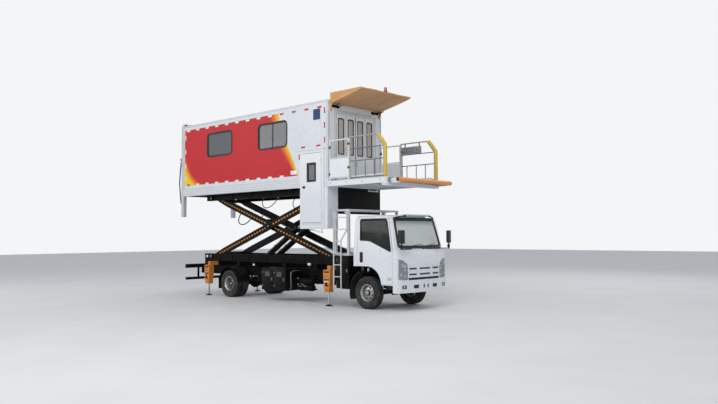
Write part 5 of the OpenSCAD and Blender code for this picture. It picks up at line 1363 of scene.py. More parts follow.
# Windows: rubber frames outside and inside, their latches, the skin round them, a divider in the front pair
bm, bar, trim, skin = bmesh.new(), bmesh.new(), bmesh.new(), bmesh.new()
z = WINDOW_Z + WINDOW_H / 2
for side in (-1, 1):
    for x in WINDOW_X:
        frame_ring(bm, (x, side * (CABIN_Y - 0.006), z), WINDOW_W - 0.024, WINDOW_H - 0.024, 0.135, 0.045,
                   side * 0.013)
        # the wall's skin goes round the rubber in a larger radius than the hole behind it
        edges = []
        for w, h, r in ((WINDOW_W + 0.02, WINDOW_H + 0.02, 0.07),
                        (WINDOW_W - 0.034, WINDOW_H - 0.034, 0.13)):
            loop = rounded_corners(w, h, r)
            edges += edge_ring(skin, [(x + a, side * (CABIN_Y + 0.0003), z + b) for a, b in loop])
        thicken(skin, bmesh.ops.bridge_loops(skin, edges=edges)["faces"], (0, side * 0.0012, 0))
        frame_ring(bm, (x, side * (CABIN_Y - 0.03), z), WINDOW_W - 0.05, WINDOW_H - 0.05, 0.1, 0.024,
                   side * 0.026)
        frame_ring(trim, (x, side * (CABIN_Y - 0.053), z), WINDOW_W - 0.02, WINDOW_H - 0.02, 0.07, 0.05,
                   side * 0.012)
        for dz in (-0.06, 0.06):
            slab(bm, (x + WINDOW_W / 2 - 0.035, side * (CABIN_Y + 0.004) - 0.012, z + dz - 0.022),
                 (x + WINDOW_W / 2 - 0.012, side * (CABIN_Y + 0.004) + 0.012, z + dz + 0.022), 0.005)
    x = WINDOW_X[1]
    slab(bar, (x - 0.012, side * (CABIN_Y - 0.018) - 0.012, z - WINDOW_H / 2 + 0.012),
         (x + 0.012, side * (CABIN_Y - 0.018) + 0.012, z + WINDOW_H / 2 - 0.012), 0.003)
    slab(bar, (x - 0.03, side * (CABIN_Y - 0.008) - 0.006, z - 0.05),
         (x - 0.012, side * (CABIN_Y - 0.008) + 0.006, z + 0.03), 0.003)
close(bm, "window_rubbers", "cabin", SEAL, sharp=40)
close(skin, "window_surrounds", "cabin", FILM, sharp=40)
close(bar, "window_dividers", "cabin", PLASTIC, sharp=40)
close(trim, "window_inner_frames", "cabin", GREY_PANEL, sharp=40)


def film_front(z):
    """X of the film's front edge at a height."""
    return along([(3.3, 3.16), (3.41, 3.08), (3.775, 2.896), (4.19, 2.665), (4.725, 2.42), (5.124, 2.28),
                  (5.2, 2.266)], z)


# Reflective tapes: white on the film, red on the white panel, and upright ones at the corners
white, red = bmesh.new(), bmesh.new()
for side in (-1, 1):
    y = side * (CABIN_Y + 0.0006)
    for k in range(13):
        x = -2.06 + 0.497 * k
        for zz in (5.105, 3.395):
            on_white = x > film_front(zz) - 0.1
            if zz < 4 and x > 2.75:
                continue
            part = red if on_white or (zz < 4 and k == 0) else white
            slab(part, (x - 0.078, y - 0.0006, zz - 0.025), (x + 0.078, y + 0.0006, zz + 0.025))
    for zz in (5.0, 4.62, 4.24):
        slab(red, (4.07, y - 0.0006, zz - 0.075), (4.115, y + 0.0006, zz + 0.075))
    for zz in (4.9, 4.45, 4.0, 3.6):
        slab(white, (-2.245, y - 0.0006, zz - 0.07), (-2.2, y + 0.0006, zz + 0.07))
    if side < 0:
        for x in (3.28, 3.86):
            slab(red, (x - 0.078, y - 0.0006, 4.09), (x + 0.078, y + 0.0006, 4.135))
        slab(red, (3.105, y - 0.0006, 3.79), (3.15, y + 0.0006, 3.94))
    else:
        for x in (3.0, 3.5, 4.0):
            slab(red, (x - 0.078, y - 0.0006, 3.37), (x + 0.078, y + 0.0006, 3.42))
close(white, "white_tapes", "cabin", TAPE_WHITE)
close(red, "red_tapes", "cabin", TAPE_RED)

# A blank blue plate and a blank white one
bm, plate = bmesh.new(), bmesh.new()
outline(bm, [(3.80 + a, -CABIN_Y, 4.93 + b) for a, b in rounded_corners(0.265, 0.28, 0.02)], (0, -0.0016, 0))
close(bm, "blank_blue_plate", "cabin", SIGN_BLUE)
outline(plate, [(2.905 + a, -CABIN_Y, 3.47 + b) for a, b in rounded_corners(0.24, 0.10, 0.008)],
        (0, -0.0016, 0))
for a in (-0.105, 0.105):
    rod(plate, (2.905 + a, -CABIN_Y - 0.0012, 3.47), (2.905 + a, -CABIN_Y - 0.0026, 3.47), 0.005, sides=10)
close(plate, "blank_white_plate", "cabin", TAPE_WHITE)

# Aluminium skirt with its grooves, corner and roof mouldings with rivets, panel joints of the roof
bm, rivet = bmesh.new(), bmesh.new()
for side in (-1, 1):
    runs = [(-2.34, 4.22)] if side > 0 else [(-2.34, 3.175), (4.07, 4.22)]
    for x0, x1 in runs:
        for z0, z1, out in ((3.049, 3.062, 0.005), (3.10, 3.112, 0.004), (3.15, 3.162, 0.004),
                            (3.2, 3.212, 0.004), (3.255, 3.272, 0.006)):
            slab(bm, (x0, side * (CABIN_Y + 0.006), z0), (x1, side * (CABIN_Y + 0.008 + out), z1), 0.0015, 1)
    for x0, x1 in ((-2.345, -2.285), (4.155, 4.2245)):
        slab(bm, (x0, side * (CABIN_Y - 0.002), 3.276), (x1, side * (CABIN_Y + 0.0035), 5.224), 0.0015, 1)
        for k in range(14):
            zz = 3.34 + 0.14 * k
            x = (x0 + x1) / 2
            rod(rivet, (x, side * (CABIN_Y + 0.003), zz), (x, side * (CABIN_Y + 0.0062), zz),
                0.007, 0.004, 8)
    near, far = side * 0.962, side * (CABIN_Y + 0.001)
    slab(bm, (4.2195, near, 3.276), (4.2235, far, 4.965), 0.0015, 1)
    slab(bm, (4.2195, near, 5.165), (4.2235, far, 5.224), 0.0015, 1)
    near, far = side * (CABIN_Y + 0.006), side * (CABIN_Y + 0.012)
    slab(bm, (-2.344, near, 5.228), (4.224, far, 5.24), 0.002, 1)
    slab(bm, (-2.344, near, 5.256), (4.224, far, 5.2695), 0.002, 1)
    for k in range(26):
        x = -2.2 + 0.25 * k
        rod(rivet, (x, side * (CABIN_Y + 0.0075), 5.248), (x, side * (CABIN_Y + 0.0105), 5.248),
            0.006, 0.004, 8)
for x in (-1.25, -0.15, 0.95, 2.05, 3.15):
    slab(bm, (x - 0.03, -1.02, 5.2698), (x + 0.03, 1.02, 5.274), 0.0015, 1)
for y in (-0.995, 0.995):
    slab(bm, (-2.33, y - 0.025, 5.2698), (4.21, y + 0.025, 5.2745), 0.0015, 1)
close(bm, "cabin_mouldings", "cabin", GREY_PANEL, sharp=40)
close(rivet, "moulding_rivets", "cabin", ALUMINIUM)

# Roof hatch and ventilators
bm = bmesh.new()
slab(bm, (0.3, -0.36, 5.27), (1.02, 0.36, 5.31), 0.018, 3)
slab(bm, (0.36, -0.30, 5.306), (0.96, 0.30, 5.326), 0.01, 3)
for x in (-1.6, 2.7):
    turned(bm, [(0.0, 0.075), (0.11, 0.07), (0.15, 0.05), (0.155, 0.035), (0.11, 0.03), (0.1, 0.0)],
           (x, 0.0, 5.27), "Z", 36)
close(bm, "roof_fittings", "cabin", WHITE_PANEL, sharp=40)

# Side door: gasket, pane, handle and seal strips; the step well's treads, rails and lamp
gasket, glass, handle = bmesh.new(), bmesh.new(), bmesh.new()
x, z = 3.62, 3.43
frame_ring(gasket, (x, -1.052, z), 0.33, 0.48, 0.03, 0.042, -0.007)
frame_ring(gasket, (x, -1.045, z), 0.33, 0.48, 0.03, 0.022, 0.05)
outline(glass, [(x + a, -1.04, z + b) for a, b in rounded_corners(0.352, 0.502, 0.03)], (0, 0.006, 0))
outline(handle, [(3.337 + a, -1.0545, 3.05 + b) for a, b in rounded_corners(0.105, 0.07, 0.034)],
        (0, -0.006, 0))
pipe(handle, curve_points([(3.30, -1.058, 3.05), (3.315, -1.064, 3.05), (3.35, -1.0655, 3.05),
                           (3.395, -1.064, 3.046)], 4), 0.0075, 10)
rod(handle, (3.30, -1.058, 3.05), (3.30, -1.066, 3.05), 0.018, sides=20)
for z0 in (2.12, 3.93):
    slab(gasket, (3.27, -1.0565, z0 - 0.004), (3.97, -1.0548, z0 + 0.004))
close(gasket, "side_door_gasket", "side_door_leaf", SEAL, sharp=40)
close(glass, "side_door_pane", "side_door_leaf", DOOR_GLASS)
close(handle, "side_door_handle", "side_door_leaf", PLASTIC, sharp=40)
bm, tread, strut = bmesh.new(), bmesh.new(), bmesh.new()
slab(tread, (3.235, -1.015, 2.0852), (4.155, -0.665, 2.088), 0.001)
slab(tread, (3.235, -0.955, 2.3), (3.62, -0.675, 2.312), 0.003)
for z0 in (2.45, 2.75, 3.05):
    rod(bm, (3.245, -0.70, z0), (3.6, -0.70, z0), 0.012)
rod(bm, (4.12, -0.98, 2.5), (4.12, -0.98, 3.9), 0.014)
for z0 in (2.52, 3.88):
    rod(bm, (4.12, -0.98, z0), (4.172, -0.98, z0), 0.011)
for z0 in (2.335, 3.725):
    for k in (-1, 1):
        slab(bm, (4.03, -1.0505, z0 + k * 0.05 - 0.012), (4.062, -1.0472, z0 + k * 0.05 + 0.012), 0.001)
pipe(bm, [(3.2, -1.028, 2.035), (3.97, -1.028, 2.035)], 0.006, 8)
rod(strut, (3.48, -0.99, 1.955), (3.98, -0.99, 1.862), 0.017)
slab(strut, (3.50, -1.0, 1.93), (3.53, -0.98, 1.966), 0.003)
slab(strut, (3.93, -1.0, 1.86), (3.96, -0.98, 1.966), 0.003)
close(bm, "step_well_rails", "cabin", ALUMINIUM, sharp=40)
close(tread, "step_well_treads", "cabin", TREAD)
close(strut, "step_well_lamp", "cabin", WHITE_PANEL, sharp=40)

# Inside: floor mat, lashing rails, handrails and ceiling lamps
bm, rails, lamps = bmesh.new(), bmesh.new(), bmesh.new()
slab(bm, (-2.29, -0.62, MAT_Z), (4.17, 0.975, 3.1835))
slab(bm, (-2.29, -0.975, MAT_Z), (3.20, -0.62, 3.1835))
close(bm, "floor_mat", "cabin", MAT)
for y in (-0.45, 0.0, 0.45):
    slab(rails, (-2.1, y - 0.02, 3.1836), (3.0, y + 0.02, 3.188), 0.001, 1)
for side in (-1, 1):
    end = 3.0 if side < 0 else 4.05
    rod(rails, (-2.1, side * 0.925, 3.98), (end, side * 0.925, 3.98), 0.016)
    for k in range(7):
        x = -2.05 + (end + 2.0) * k / 6
        rod(rails, (x, side * 0.925, 3.98), (x, side * 0.978, 3.96), 0.01, sides=10)
close(rails, "cabin_handrails", "cabin", ALUMINIUM, sharp=40)
for x in (-1.3, 0.6, 2.6):
    slab(lamps, (x - 0.3, -0.07, 5.2), (x + 0.3, 0.07, 5.2245), 0.008)
close(lamps, "ceiling_lamps", "cabin", LENS_CLEAR)

# Front doors: panes, gaskets and plates of the four leaves, pulls on the middle two, and the doorway's frame
LEAF_BODIES = ("right_outer_leaf", "right_inner_leaf", "left_inner_leaf", "left_outer_leaf")
for number, body in enumerate(LEAF_BODIES):
    y = -DOORWAY_W / 2 + DOORWAY_W / 4 * (number + 0.5)
    gasket, glass, grip = bmesh.new(), bmesh.new(), bmesh.new()
    z = 3.88 + 0.48
    frame_ring(gasket, (4.2165, y, z), 0.226, 0.945, 0.05, 0.02, 0.005, "X")
    frame_ring(gasket, (4.1835, y, z), 0.226, 0.945, 0.05, 0.02, -0.004, "X")
    frame_ring(gasket, (4.183, y, z), 0.22, 0.938, 0.05, 0.01, 0.034, "X")
    outline(glass, [(4.198, y + a, z + b) for a, b in rounded_corners(0.232, 0.952, 0.045)], (0.005, 0, 0))
    for yy in (y - 0.1755, y + 0.1755 - (0.005 if number in (1, 2) else 0)):
        if (number in (0, 1) and yy > y) or (number in (2, 3) and yy < y) or number in (0, 3):
            slab(gasket, (4.2165, yy - 0.004, 3.2), (4.2188, yy + 0.004, LEAF_TOP))
    close(gasket, f"leaf_gasket_{number + 1}", body, SEAL, sharp=40)
    close(glass, f"leaf_pane_{number + 1}", body, LEAF_GLASS)
    toward = 1 if number < 2 else -1
    edge = y + toward * 0.16 if number in (1, 2) else y - toward * 0.16
    slab(grip, (4.2178, y - 0.13, 3.22), (4.2195, y + 0.13, 3.42), 0.0006, 1)
    if number in (1, 2):
        for zz in (3.62, 3.78):
            rod(grip, (4.218, edge, zz), (4.25, edge, zz), 0.007, sides=10)
        pipe(grip, [(4.25, edge, 3.6), (4.25, edge, 3.8)], 0.009, 10)
    close(grip, f"leaf_plate_{number + 1}", body, ALUMINIUM, sharp=40)
bm, dark = bmesh.new(), bmesh.new()
for side in (-1, 1):
    slab(bm, (DOORWAY_FACE_X, side * 0.765, 3.20), (4.2262, side * 0.80, 5.02), 0.002)
slab(bm, (DOORWAY_FACE_X, -0.80, 4.955), (4.235, 0.80, 5.03), 0.004)
for y in (-0.55, 0.0, 0.55):
    rod(dark, (4.2352, y, 4.992), (4.240, y, 4.992), 0.011, sides=6)
for side in (-1, 1):
    # folding stays of the canopy
    rod(dark, (4.24, side * 0.80, 5.115), (4.24, side * 0.86, 5.115), 0.034)
    rod(dark, (4.235, side * 0.66, 5.10), (4.235, side * 0.72, 5.10), 0.03)
    slab(dark, (DOORWAY_FACE_X, side * 0.62, 5.085), (4.229, side * 0.88, 5.148), 0.003)
    pipe(dark, [(4.245, side * 0.70, 5.10), (4.32, side * 0.71, 5.085), (4.40, side * 0.73, 5.13)], 0.012, 8)
    pipe(dark, [(4.245, side * 0.84, 5.115), (4.36, side * 0.85, 5.12), (4.47, side * 0.86, 5.155)],
         0.012, 8)
close(bm, "doorway_frame", "cabin", GREY_PANEL, sharp=40)
close(dark, "canopy_stays", "cabin", IRON, sharp=40)

# Work lamp bar on the plate under the cabin's front
bm = bmesh.new()
slab(bm, (4.172, 0.52, 2.965), (4.2, 0.93, 2.995), 0.006)
for y in (0.56, 0.89):
    slab(bm, (4.168, y - 0.015, 2.99), (4.19, y + 0.015, 3.02), 0.002)
close(bm, "work_lamp_bar", "cabin", TAPE_WHITE)

# Boarding platform

# Treads of the fixed deck and of the sliding edge
bm = bmesh.new()
slab(bm, (4.226, -0.945, 3.1801), (6.178, 0.945, 3.1817))
close(bm, "deck_tread", "cabin", TREAD)
bm = bmesh.new()
slab(bm, (5.42, -0.94, 3.1301), (6.462, 0.94, 3.1318))
close(bm, "slide_tread", "sliding_edge", TREAD)

# Side beams: rolled edges, bolts, corner brackets and toe boards; ribs below the deck
bm, bolt = bmesh.new(), bmesh.new()
for side in (-1, 1):
    y0 = side * (CABIN_Y - 0.002)
    for z0, z1 in ((3.032, 3.046), (3.16, 3.1735)):
        y1 = side * (CABIN_Y + 0.006)
        slab(bm, (4.222, y0, z0), (6.178, y1, z1), 0.002, 1)
    y1 = side * (CABIN_Y + 0.004)
    slab(bm, (6.03, y0, 2.975), (6.178, y1, 3.03), 0.002, 1)
    for x in (4.3, 4.85, 5.4, 5.97, 6.14):
        rod(bolt, (x, side * CABIN_Y, 3.103), (x, side * (CABIN_Y + 0.008), 3.103), 0.013, sides=6)
    for x in (6.07, 6.14):
        rod(bolt, (x, side * (CABIN_Y + 0.003), 3.0), (x, side * (CABIN_Y + 0.01), 3.0), 0.01, sides=6)
    slab(bm, (4.97, side * 0.952, 3.1745), (6.03, side * 0.96, 3.265), 0.002, 1)
for x in (4.45, 4.75, 5.05):
    slab(bm, (x - 0.02, -0.964, 3.075), (x + 0.02, 0.964, 3.149), 0.004, 1)
for y in (-0.3, 0.3):
    slab(bm, (4.24, y - 0.02, 3.09), (5.30, y + 0.02, 3.149), 0.004, 1)
close(bm, "platform_edges", "cabin", WHITE_PANEL, sharp=40)
close(bolt, "platform_bolts", "cabin", STEEL)

# Gates: white posts and plates, barrels of the hinges, latches and rubber stops
bm, pin = bmesh.new(), bmesh.new()
for side in (-1, 1):
    y = side * RAIL_LINE_Y
    for x in GATE_X:
        rod(bm, (x, y, 3.176), (x, y, 4.176), 0.0186)
        rod(bm, (x, y, 4.17), (x, y, 4.2095), 0.0186, 0.012)
        rod(bm, (x, y, 3.176), (x, y, 3.186), 0.034, 0.03)
    rod(bm, (GATE_X[0], y, 4.19), (GATE_X[1], y, 4.19), 0.0186)
    for out in (-1, 1):
        slab(bm, (4.262, y + out * 0.0055, 3.25), (4.903, y + out * 0.0078, 3.72), 0.001, 1)
    for z in (3.742, 3.232):
        rod(bm, (GATE_X[0], y, z), (GATE_X[1], y, z), 0.012, sides=14)
    for z in (3.34, 4.02):
        rod(pin, (GATE_X[0], y, z - 0.035), (GATE_X[0], y, z + 0.035), 0.0215, sides=24)
        slab(pin, (4.2, y, z - 0.02), (GATE_X[0], y - side * 0.02, z + 0.02), 0.003)
    for z in (3.47, 4.06):
        slab(pin, (4.885, y, z - 0.025), (4.962, y + side * 0.028, z + 0.025), 0.006)
        rod(pin, (4.9, y + side * 0.018, z + 0.02), (4.9, y + side * 0.018, z + 0.055), 0.006, sides=10)
    rod(pin, (4.9348, y, 3.70), (4.9365, y, 3.70), 0.012, sides=12)
close(bm, "gates", "cabin", WHITE_PANEL, sharp=40)
close(pin, "gate_fittings", "cabin", PLASTIC, sharp=40)

# Guard rails: foot flanges and weld collars at the joints
bm = bmesh.new()
for side in (-1, 1):
    y = side * RAIL_LINE_Y
    for x, r in ((4.955, 0.017), (6.07, 0.019)):
        rod(bm, (x, y, 3.1742), (x, y, 3.184), r + 0.014, r + 0.012)
        for z in (3.21, 3.62, 3.92):
            rod(bm, (x, y, z - 0.013), (x, y, z + 0.013), r + 0.0018, sides=24)
    for x in (5.155, 5.47, 5.77):
        for z in (3.21, 3.62):
            rod(bm, (x - 0.012, y, z), (x + 0.012, y, z), 0.0138, sides=18)
close(bm, "rail_collars", "cabin", RAIL_METAL, sharp=40)

# Painted shade on the guard rails below the top rail: darker copies of the rails, a dark foot rail and grey
# uprights and middle rails, slipped over the solid's own
bm = bmesh.new()
for side in (-1, 1):
    y = side * RAIL_LINE_Y
    rod(bm, (4.974, y, 3.21), (6.05, y, 3.21), 0.0134, sides=18)
    for x in (5.155, 5.47, 5.77):
        rod(bm, (x, y, 3.223), (x, y, 3.608), 0.0112, sides=16)
    for z in (3.92, 3.62):
        rod(bm, (4.974, y, z), (6.05, y, z), 0.0126, sides=18)
close(bm, "rail_painted_shade", "cabin", RAIL_SHADE, sharp=40)


def padded_bar(bm, path, r, back):
    """A foam bar along a path in the X-Z plane: flat at the back, swelling between its stitched bands."""
    rings, points, run = [], [], 0.0
    for a, b in zip(path, path[1:]):
        steps = max(1, round((Vector(b) - Vector(a)).length / 0.014))
        points += [Vector(a).lerp(Vector(b), k / steps) for k in range(steps)]
    points.append(Vector(path[-1]))
    total = sum((b - a).length for a, b in zip(points, points[1:]))
    for i, p in enumerate(points):
        ahead = (points[min(i + 1, len(points) - 1)] - points[max(i - 1, 0)]).normalized()
        out = Vector((ahead.z, 0, -ahead.x))
        if i:
            run += (p - points[i - 1]).length
        phase = abs(math.sin(math.pi * run / STITCH_STEP))
        size = r * (0.93 + 0.07 * phase ** 0.5) * min(1.0,
                                                      (0.55 + 0.45 * math.sqrt(min(run, total - run) / 0.02))
                                                      if min(run, total - run) < 0.02 else 1.0)
        turn = Matrix((out, Vector((0, 1, 0)), ahead)).transposed().to_4x4()
        made = bmesh.ops.create_circle(bm, cap_ends=i in (0, len(points) - 1), segments=40, radius=size,
                                       matrix=Matrix.Translation(p) @ turn)["verts"]
        for v in made:
            depth = (v.co - p).dot(out)
            if depth < -back:
                v.co += out * (-back - depth)
        rings.append(list({e for v in made for e in v.link_edges}))
    for a, b in zip(rings, rings[1:]):
        bmesh.ops.bridge_loops(bm, edges=a + b)


bm = bmesh.new()
for side in (-1, 1):
    y = side * RAIL_LINE_Y
    part = bmesh.new()
    padded_bar(part, [(6.122, y, 3.18), (6.122, y, 3.90), (6.119, y, 3.93), (6.108, y, 3.958),
                      (5.892, y, 4.227)], 0.0415, 0.0322)
    merged(bm, part)
pads = close(bm, "rail_pads_soft", "cabin", PAD, ("rail_pads",), sharp=70)

# The front roll: a vinyl cover with stitched rings round foam, and its end caps
bm, cap = bmesh.new(), bmesh.new()
profile = [(0.0, -1.043), (0.036, -1.043), (0.048, -1.040)]
for k in range(211):
    y = -1.036 + 2.072 * k / 210
    dip = min(abs(y - s) for s in (-1.036, -0.69, -0.345, 0.0, 0.345, 0.69, 1.036))
    profile.append((0.0545 - 0.0022 * math.exp(-(dip / 0.012) ** 2), y))
profile += [(0.048, 1.040), (0.036, 1.043), (0.0, 1.043)]
turned(bm, profile, (ROLL_X, 0, ROLL_Z), "Y", 40)
roll = close(bm, "front_roll_soft", "sliding_edge", ROLL, ("front_roll",), sharp=70)
for side in (-1, 1):
    turned(cap, [(r, side * t) for r, t in ((0.0, 1.0498), (0.012, 1.0498), (0.014, 1.0465),
                                            (0.036, 1.0465), (0.04, 1.0485),
                                           (0.045, 1.047), (0.046, 1.0435))], (ROLL_X, 0, ROLL_Z), "Y", 40)
close(cap, "roll_end_caps", "sliding_edge", PLASTIC, sharp=40)

# Operating box on the left rail, with its conduit
bm, knob, red = bmesh.new(), bmesh.new(), bmesh.new()
slab(bm, (5.06, 0.87, 3.93), (5.67, 0.974, 4.11), 0.012, 3)
slab(bm, (5.075, 0.864, 3.945), (5.655, 0.872, 4.095), 0.003)
for x in (5.12, 5.6):
    slab(bm, (x - 0.02, 0.965, 4.10), (x + 0.02, 0.977, 4.2), 0.003)
for k in range(5):
    rod(knob, (5.2 + 0.07 * k, 0.865, 4.05), (5.2 + 0.07 * k, 0.852, 4.05), 0.013, 0.011, 18)
    rod(knob, (5.2 + 0.07 * k, 0.865, 3.985), (5.2 + 0.07 * k, 0.857, 3.985), 0.011, 0.01, 18)
rod(knob, (5.125, 0.866, 4.0), (5.125, 0.83, 3.99), 0.007, sides=10)
turned(knob, [(0.0, -0.016), (0.012, -0.012), (0.015, 0.0), (0.008, 0.012)], (5.125, 0.826, 3.989), "Y", 16)
turned(red, [(0.0, -0.03), (0.019, -0.028), (0.022, -0.02), (0.012, -0.014), (0.012, 0.0)],
       (5.61, 0.866, 4.02), "Y", 20)
pipe(knob, curve_points([(5.03, 0.955, 3.185), (5.03, 0.955, 3.6), (5.03, 0.95, 3.9), (5.045, 0.945, 3.975),
                         (5.066, 0.94, 3.985)], 4), 0.009, 10)
close(bm, "operating_box", "cabin", CONTROL_GREY, sharp=40)
close(knob, "operating_buttons", "cabin", PLASTIC, sharp=40)
close(red, "stop_button", "cabin", LENS_RED)

# Canopy


def canopy_point(u, v):
    """The cover at u along its way (wall, top, front edge, underside, wall) and v across, from -1 to 1."""
    y = 0.956 * v
    if u < 0.46:
        t = u / 0.46
        x, z, sag = 4.2245 + 1.085 * t, 5.446, 0.010
    elif u > 0.54:
        t = (1 - u) / 0.46
        x, z, sag = 4.2245 + 1.085 * t, 5.168 + 0.232 * t, 0.024
    else:
        a = math.pi * (u - 0.46) / 0.08
        return Vector((5.3095 + 0.019 * math.sin(a), y,
                       5.423 + 0.0235 * math.cos(a) + 0.004 * math.sin(9 * v)))
    taut = math.sin(math.pi * t) ** 0.8
    across = abs(math.cos(1.5 * math.pi * v)) ** 0.7 if abs(v) < 1 else 0.0
    folds = 0.004 * math.sin(17 * v + 5 * t) * math.sin(math.pi * t)
    folds += 0.0025 * math.sin(31 * v - 11 * t + 1.3)
    return Vector((x, y, z - sag * taut * (0.35 + 0.65 * across) + folds * taut * (1 - abs(v) ** 6)))


bm = bmesh.new()
ACROSS, ALONG = 72, 64
grid = [[bm.verts.new(canopy_point(i / ALONG, -1 + 2 * j / ACROSS)) for j in range(ACROSS + 1)]
        for i in range(ALONG + 1)]
quads(bm, grid)
# the sewn-in sides join the top to the underside, and their tails hang down the wall
for j, side in ((0, -1), (ACROSS, 1)):
    edge = [row[j] for row in grid]
    rows = []
    for i in range(ALONG // 2 + 1):
        top, low = edge[i], edge[ALONG - i]
        row = [top]
        for k in range(1, 6):
            p = top.co.lerp(low.co, k / 6) + Vector((0, -side * 0.006 * math.sin(math.pi * k / 6), 0))
            row.append(bm.verts.new(p) if (top.co - low.co).length > 0.05 and i < 29 else None)
        row.append(low)
        rows.append(row)
    for a, b in zip(rows, rows[1:]):
        if a[1] and b[1]:
            for k in range(6):
                bm.faces.new((a[k], a[k + 1], b[k + 1], b[k]))
        elif a[1]:
            bm.faces.new([*a, b[-1], b[0]] if b[0] != b[-1] else [*a, b[0]])
        elif a[0] != b[0] and a[-1] != b[-1] and b[0] != b[-1]:
            bm.faces.new((a[0], a[-1], b[-1], b[0]))
        elif b[0] == b[-1] and a[0] != a[-1]:
            bm.faces.new((a[0], a[-1], b[0]))
    tail = [[bm.verts.new((4.2245 + 0.1 * (1 - k / 10) * max(0.0, j - 2) / 5 + 0.004 * math.sin(3 * k + j),
                           side * (0.9 + 0.028 * min(j, 2)),
                           5.19 - 0.215 * k / 10)) for j in range(8)] for k in range(11)]
    quads(bm, tail)
bmesh.ops.recalc_face_normals(bm, faces=bm.faces)
bmesh.ops.solidify(bm, geom=bm.faces[:], thickness=0.0018)
area = sum(f.calc_area() for f in bm.faces) / 2
cover_cloth = close(bm, "canopy_cover", "cabin", CANOPY_SUNLIT, ("canopy",), sharp=55, clean=False)
hem = bmesh.new()
for v in (-0.985, 0.985):
    pipe(hem, [canopy_point(k / 60, v) - Vector((0, 0, 0.003 if k > 30 else -0.002))
               for k in range(34, 61)], 0.0035, 6)
pipe(hem, [canopy_point(0.95, -0.98 + 1.96 * k / 50) - Vector((0, 0, 0.003)) for k in range(51)], 0.0035, 6)
hems = close(hem, "canopy_hems", "cabin", CANOPY_SUNLIT, sharp=60)

# Beacon: a black foot, a ribbed lens and its cap
bm, foot = bmesh.new(), bmesh.new()
centre = (5.278, 0, 5.4503)
turned(foot, [(0.0, 0.0), (0.05, 0.0), (0.05, 0.018), (0.046, 0.024), (0.0, 0.024)], centre, "Z", 36)
ribs = [(0.0, 0.024), (0.041, 0.024)]
for k in range(9):
    ribs += [(0.043, 0.030 + 0.009 * k), (0.0415, 0.0345 + 0.009 * k)]
turned(bm, ribs + [(0.04, 0.112), (0.032, 0.12), (0.018, 0.124), (0.0, 0.1245)], centre, "Z", 36)
close(bm, "beacon_lens", "cabin", LENS_RED, ("beacon",), sharp=30)
close(foot, "beacon_foot", "cabin", PLASTIC, sharp=40)

# Tail lift and rear

# Folding tail platform: ribs, rims and hinge knuckles, and on its other face a tread and red marks
bm, grip, tape = bmesh.new(), bmesh.new(), bmesh.new()
for k in range(9):
    y = -0.8 + 0.2 * k
    slab(bm, (-2.5985, y - 0.012, 4.27), (-2.5895, y + 0.012, 5.37), 0.002, 1)
for z0, z1 in ((4.252, 4.28), (4.80, 4.83), (5.36, 5.3985)):
    slab(bm, (-2.5985, -0.898, z0), (-2.5895, 0.898, z1), 0.002, 1)
for side in (-1, 1):
    slab(bm, (-2.597, side * 0.8995, 4.255), (-2.533, side * 0.905, 5.397), 0.002, 1)
    for y in (0.55, 0.25):
        rod(bm, (-2.565, side * y - 0.06, 4.24), (-2.565, side * y + 0.06, 4.24), 0.0345, sides=28)
close(bm, "tail_platform_ribs", "tail_lift_platform", ALUMINIUM, sharp=40)
slab(grip, (-2.5398, -0.88, 4.29), (-2.5382, 0.88, 5.30))
close(grip, "tail_platform_tread", "tail_lift_platform", TREAD)
for k in range(9):
    y = -0.86 + 0.2 * k
    slab(tape, (-2.5397, y, 5.315), (-2.5385, y + 0.1, 5.385))
close(tape, "tail_platform_marks", "tail_lift_platform", TAPE_RED)

# Carriage: cylinder covers, roller caps and the hinge arms' bolts
bm = bmesh.new()
for side in (-1, 1):
    for z in (4.24, 4.46):
        rod(bm, (-2.425, side * 0.9899, z), (-2.425, side * 0.9915, z), 0.02, sides=20)
    slab(bm, (-2.4845, side * 0.965 - 0.02, 4.3), (-2.466, side * 0.965 + 0.02, 4.48), 0.004)
    rod(bm, (-2.565, side * 0.9895, 4.24), (-2.565, side * 0.995, 4.24), 0.024, sides=20)
for y in (-0.6, 0.0, 0.6):
    rod(bm, (-2.5305, y, 4.165), (-2.536, y, 4.165), 0.012, sides=6)
close(bm, "carriage_fittings", "tail_lift_carriage", STEEL, sharp=40)

# Columns: end caps, wear strips and bolts
bm, bolt = bmesh.new(), bmesh.new()
for side in (-1, 1):
    y = side * 0.965
    slab(bm, (-2.474, y - 0.059, 5.289), (-2.338, y + 0.059, 5.302), 0.004)
    for low, high in ((-0.053, -0.032), (0.032, 0.053)):
        slab(bm, (-2.465, y + low, 2.396), (-2.3503, y + high, 2.4005), 0.002)
    for z in (2.55, 3.3, 4.05, 4.8, 5.15):
        rod(bolt, (-2.405, side * 1.0195, z), (-2.405, side * 1.026, z), 0.011, sides=6)
    slab(bm, (-2.37, side * 0.9, 3.05), (-2.3405, side * 0.912, 5.22), 0.002)
close(bm, "column_caps", "cabin", GREY_PANEL, sharp=40)
close(bolt, "column_bolts", "cabin", STEEL)

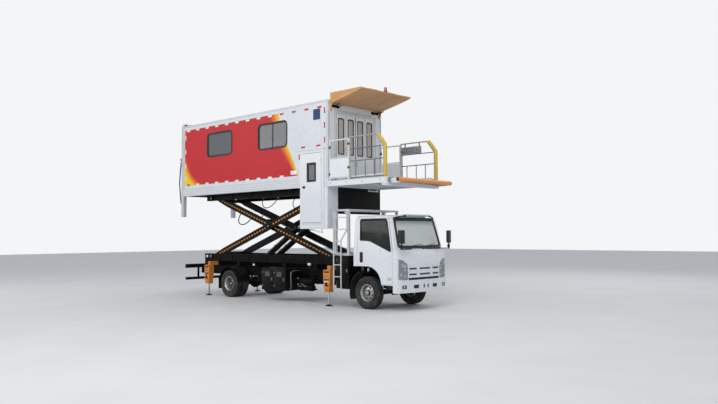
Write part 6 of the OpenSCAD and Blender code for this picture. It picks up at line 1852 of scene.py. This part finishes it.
# Rear shutter of the cabin with its guides and bottom bar, and the rear lamps above it
bm, guide = bmesh.new(), bmesh.new()
for k in range(20):
    z = 3.24 + 0.088 * k
    slab(bm, (-2.3485, -0.75, z), (-2.3405, 0.75, z + 0.083), 0.0035, 2)
slab(guide, (-2.353, -0.75, 3.185), (REAR_FACE_X, 0.75, 3.236), 0.003)
slab(guide, (-2.356, -0.80, 5.0), (REAR_FACE_X, 0.80, 5.09), 0.004)
for side in (-1, 1):
    slab(guide, (-2.356, side * 0.75, 3.185), (REAR_FACE_X, side * 0.80, 5.0), 0.003)
pipe(guide, [(-2.353, -0.09, 3.21), (-2.366, -0.08, 3.21), (-2.366, 0.08, 3.21), (-2.353, 0.09, 3.21)],
     0.006, 8)
close(bm, "rear_shutter", "cabin", GREY_PANEL, sharp=40)
close(guide, "shutter_guides", "cabin", ALUMINIUM, sharp=40)
bm = bmesh.new()
for side in (-1, 1):
    slab(bm, (-2.352, side * 0.5 - 0.06, 5.13), (REAR_FACE_X, side * 0.5 + 0.06, 5.17), 0.004)
close(bm, "rear_high_lamps", "cabin", LENS_RED)

# The hose that feeds the tail lift hangs in a long bow behind the right column, and its twin on the left
for side, word in SIDES:
    y = side * 1.016
    elbow = bmesh.new()
    for z, down in ((4.17, -1), (2.83, 1)):
        pipe(elbow, curve_points([(-2.462, y, z), (-2.482, y, z + down * 0.004),
                                  (-2.495, y, z + down * 0.02), (-2.499, y, z + down * 0.05)], 4), 0.016, 12)
    close(elbow, f"tail_hose_elbows_{word}", "cabin", STEEL, sharp=40)
    hose(f"tail_hose_{word}", "cabin", [(-2.4995, y, 4.11), (-2.521, y, 3.96), (-2.558, y, 3.72),
                                        (-2.575, y, 3.5), (-2.558, y, 3.28), (-2.521, y, 3.04),
                                        (-2.4995, y, 2.89)], 0.036)

# A hose on each side that hangs from the cabin's channel in a bow and goes back to it
for side, word in SIDES:
    y = side * 0.59
    hose(f"cabin_hose_{word}", "cabin", [(1.13, y, 2.878), (1.07, y, 2.80), (1.07, y, 2.68),
                                         (1.20, y, 2.59), (1.42, y, 2.62), (1.60, y, 2.72),
                                         (1.70, y, 2.80), (1.76, y, 2.878)], 0.024)

# Doors of the lockers below the landing
bm, fit = bmesh.new(), bmesh.new()
for side in (-1, 1):
    slab(bm, (4.425, side * 0.9292, 0.49), (4.815, side * 0.935, 1.29), 0.002)
    for z in (0.6, 1.18):
        rod(fit, (4.432, side * 0.9365, z - 0.04), (4.432, side * 0.9365, z + 0.04), 0.007, sides=12)
    slab(fit, (4.75, side * 0.934, 0.87), (4.79, side * 0.942, 0.95), 0.004)
close(bm, "locker_doors", "chassis", BOX_BLACK)
close(fit, "locker_door_fittings", "chassis", STEEL, sharp=40)
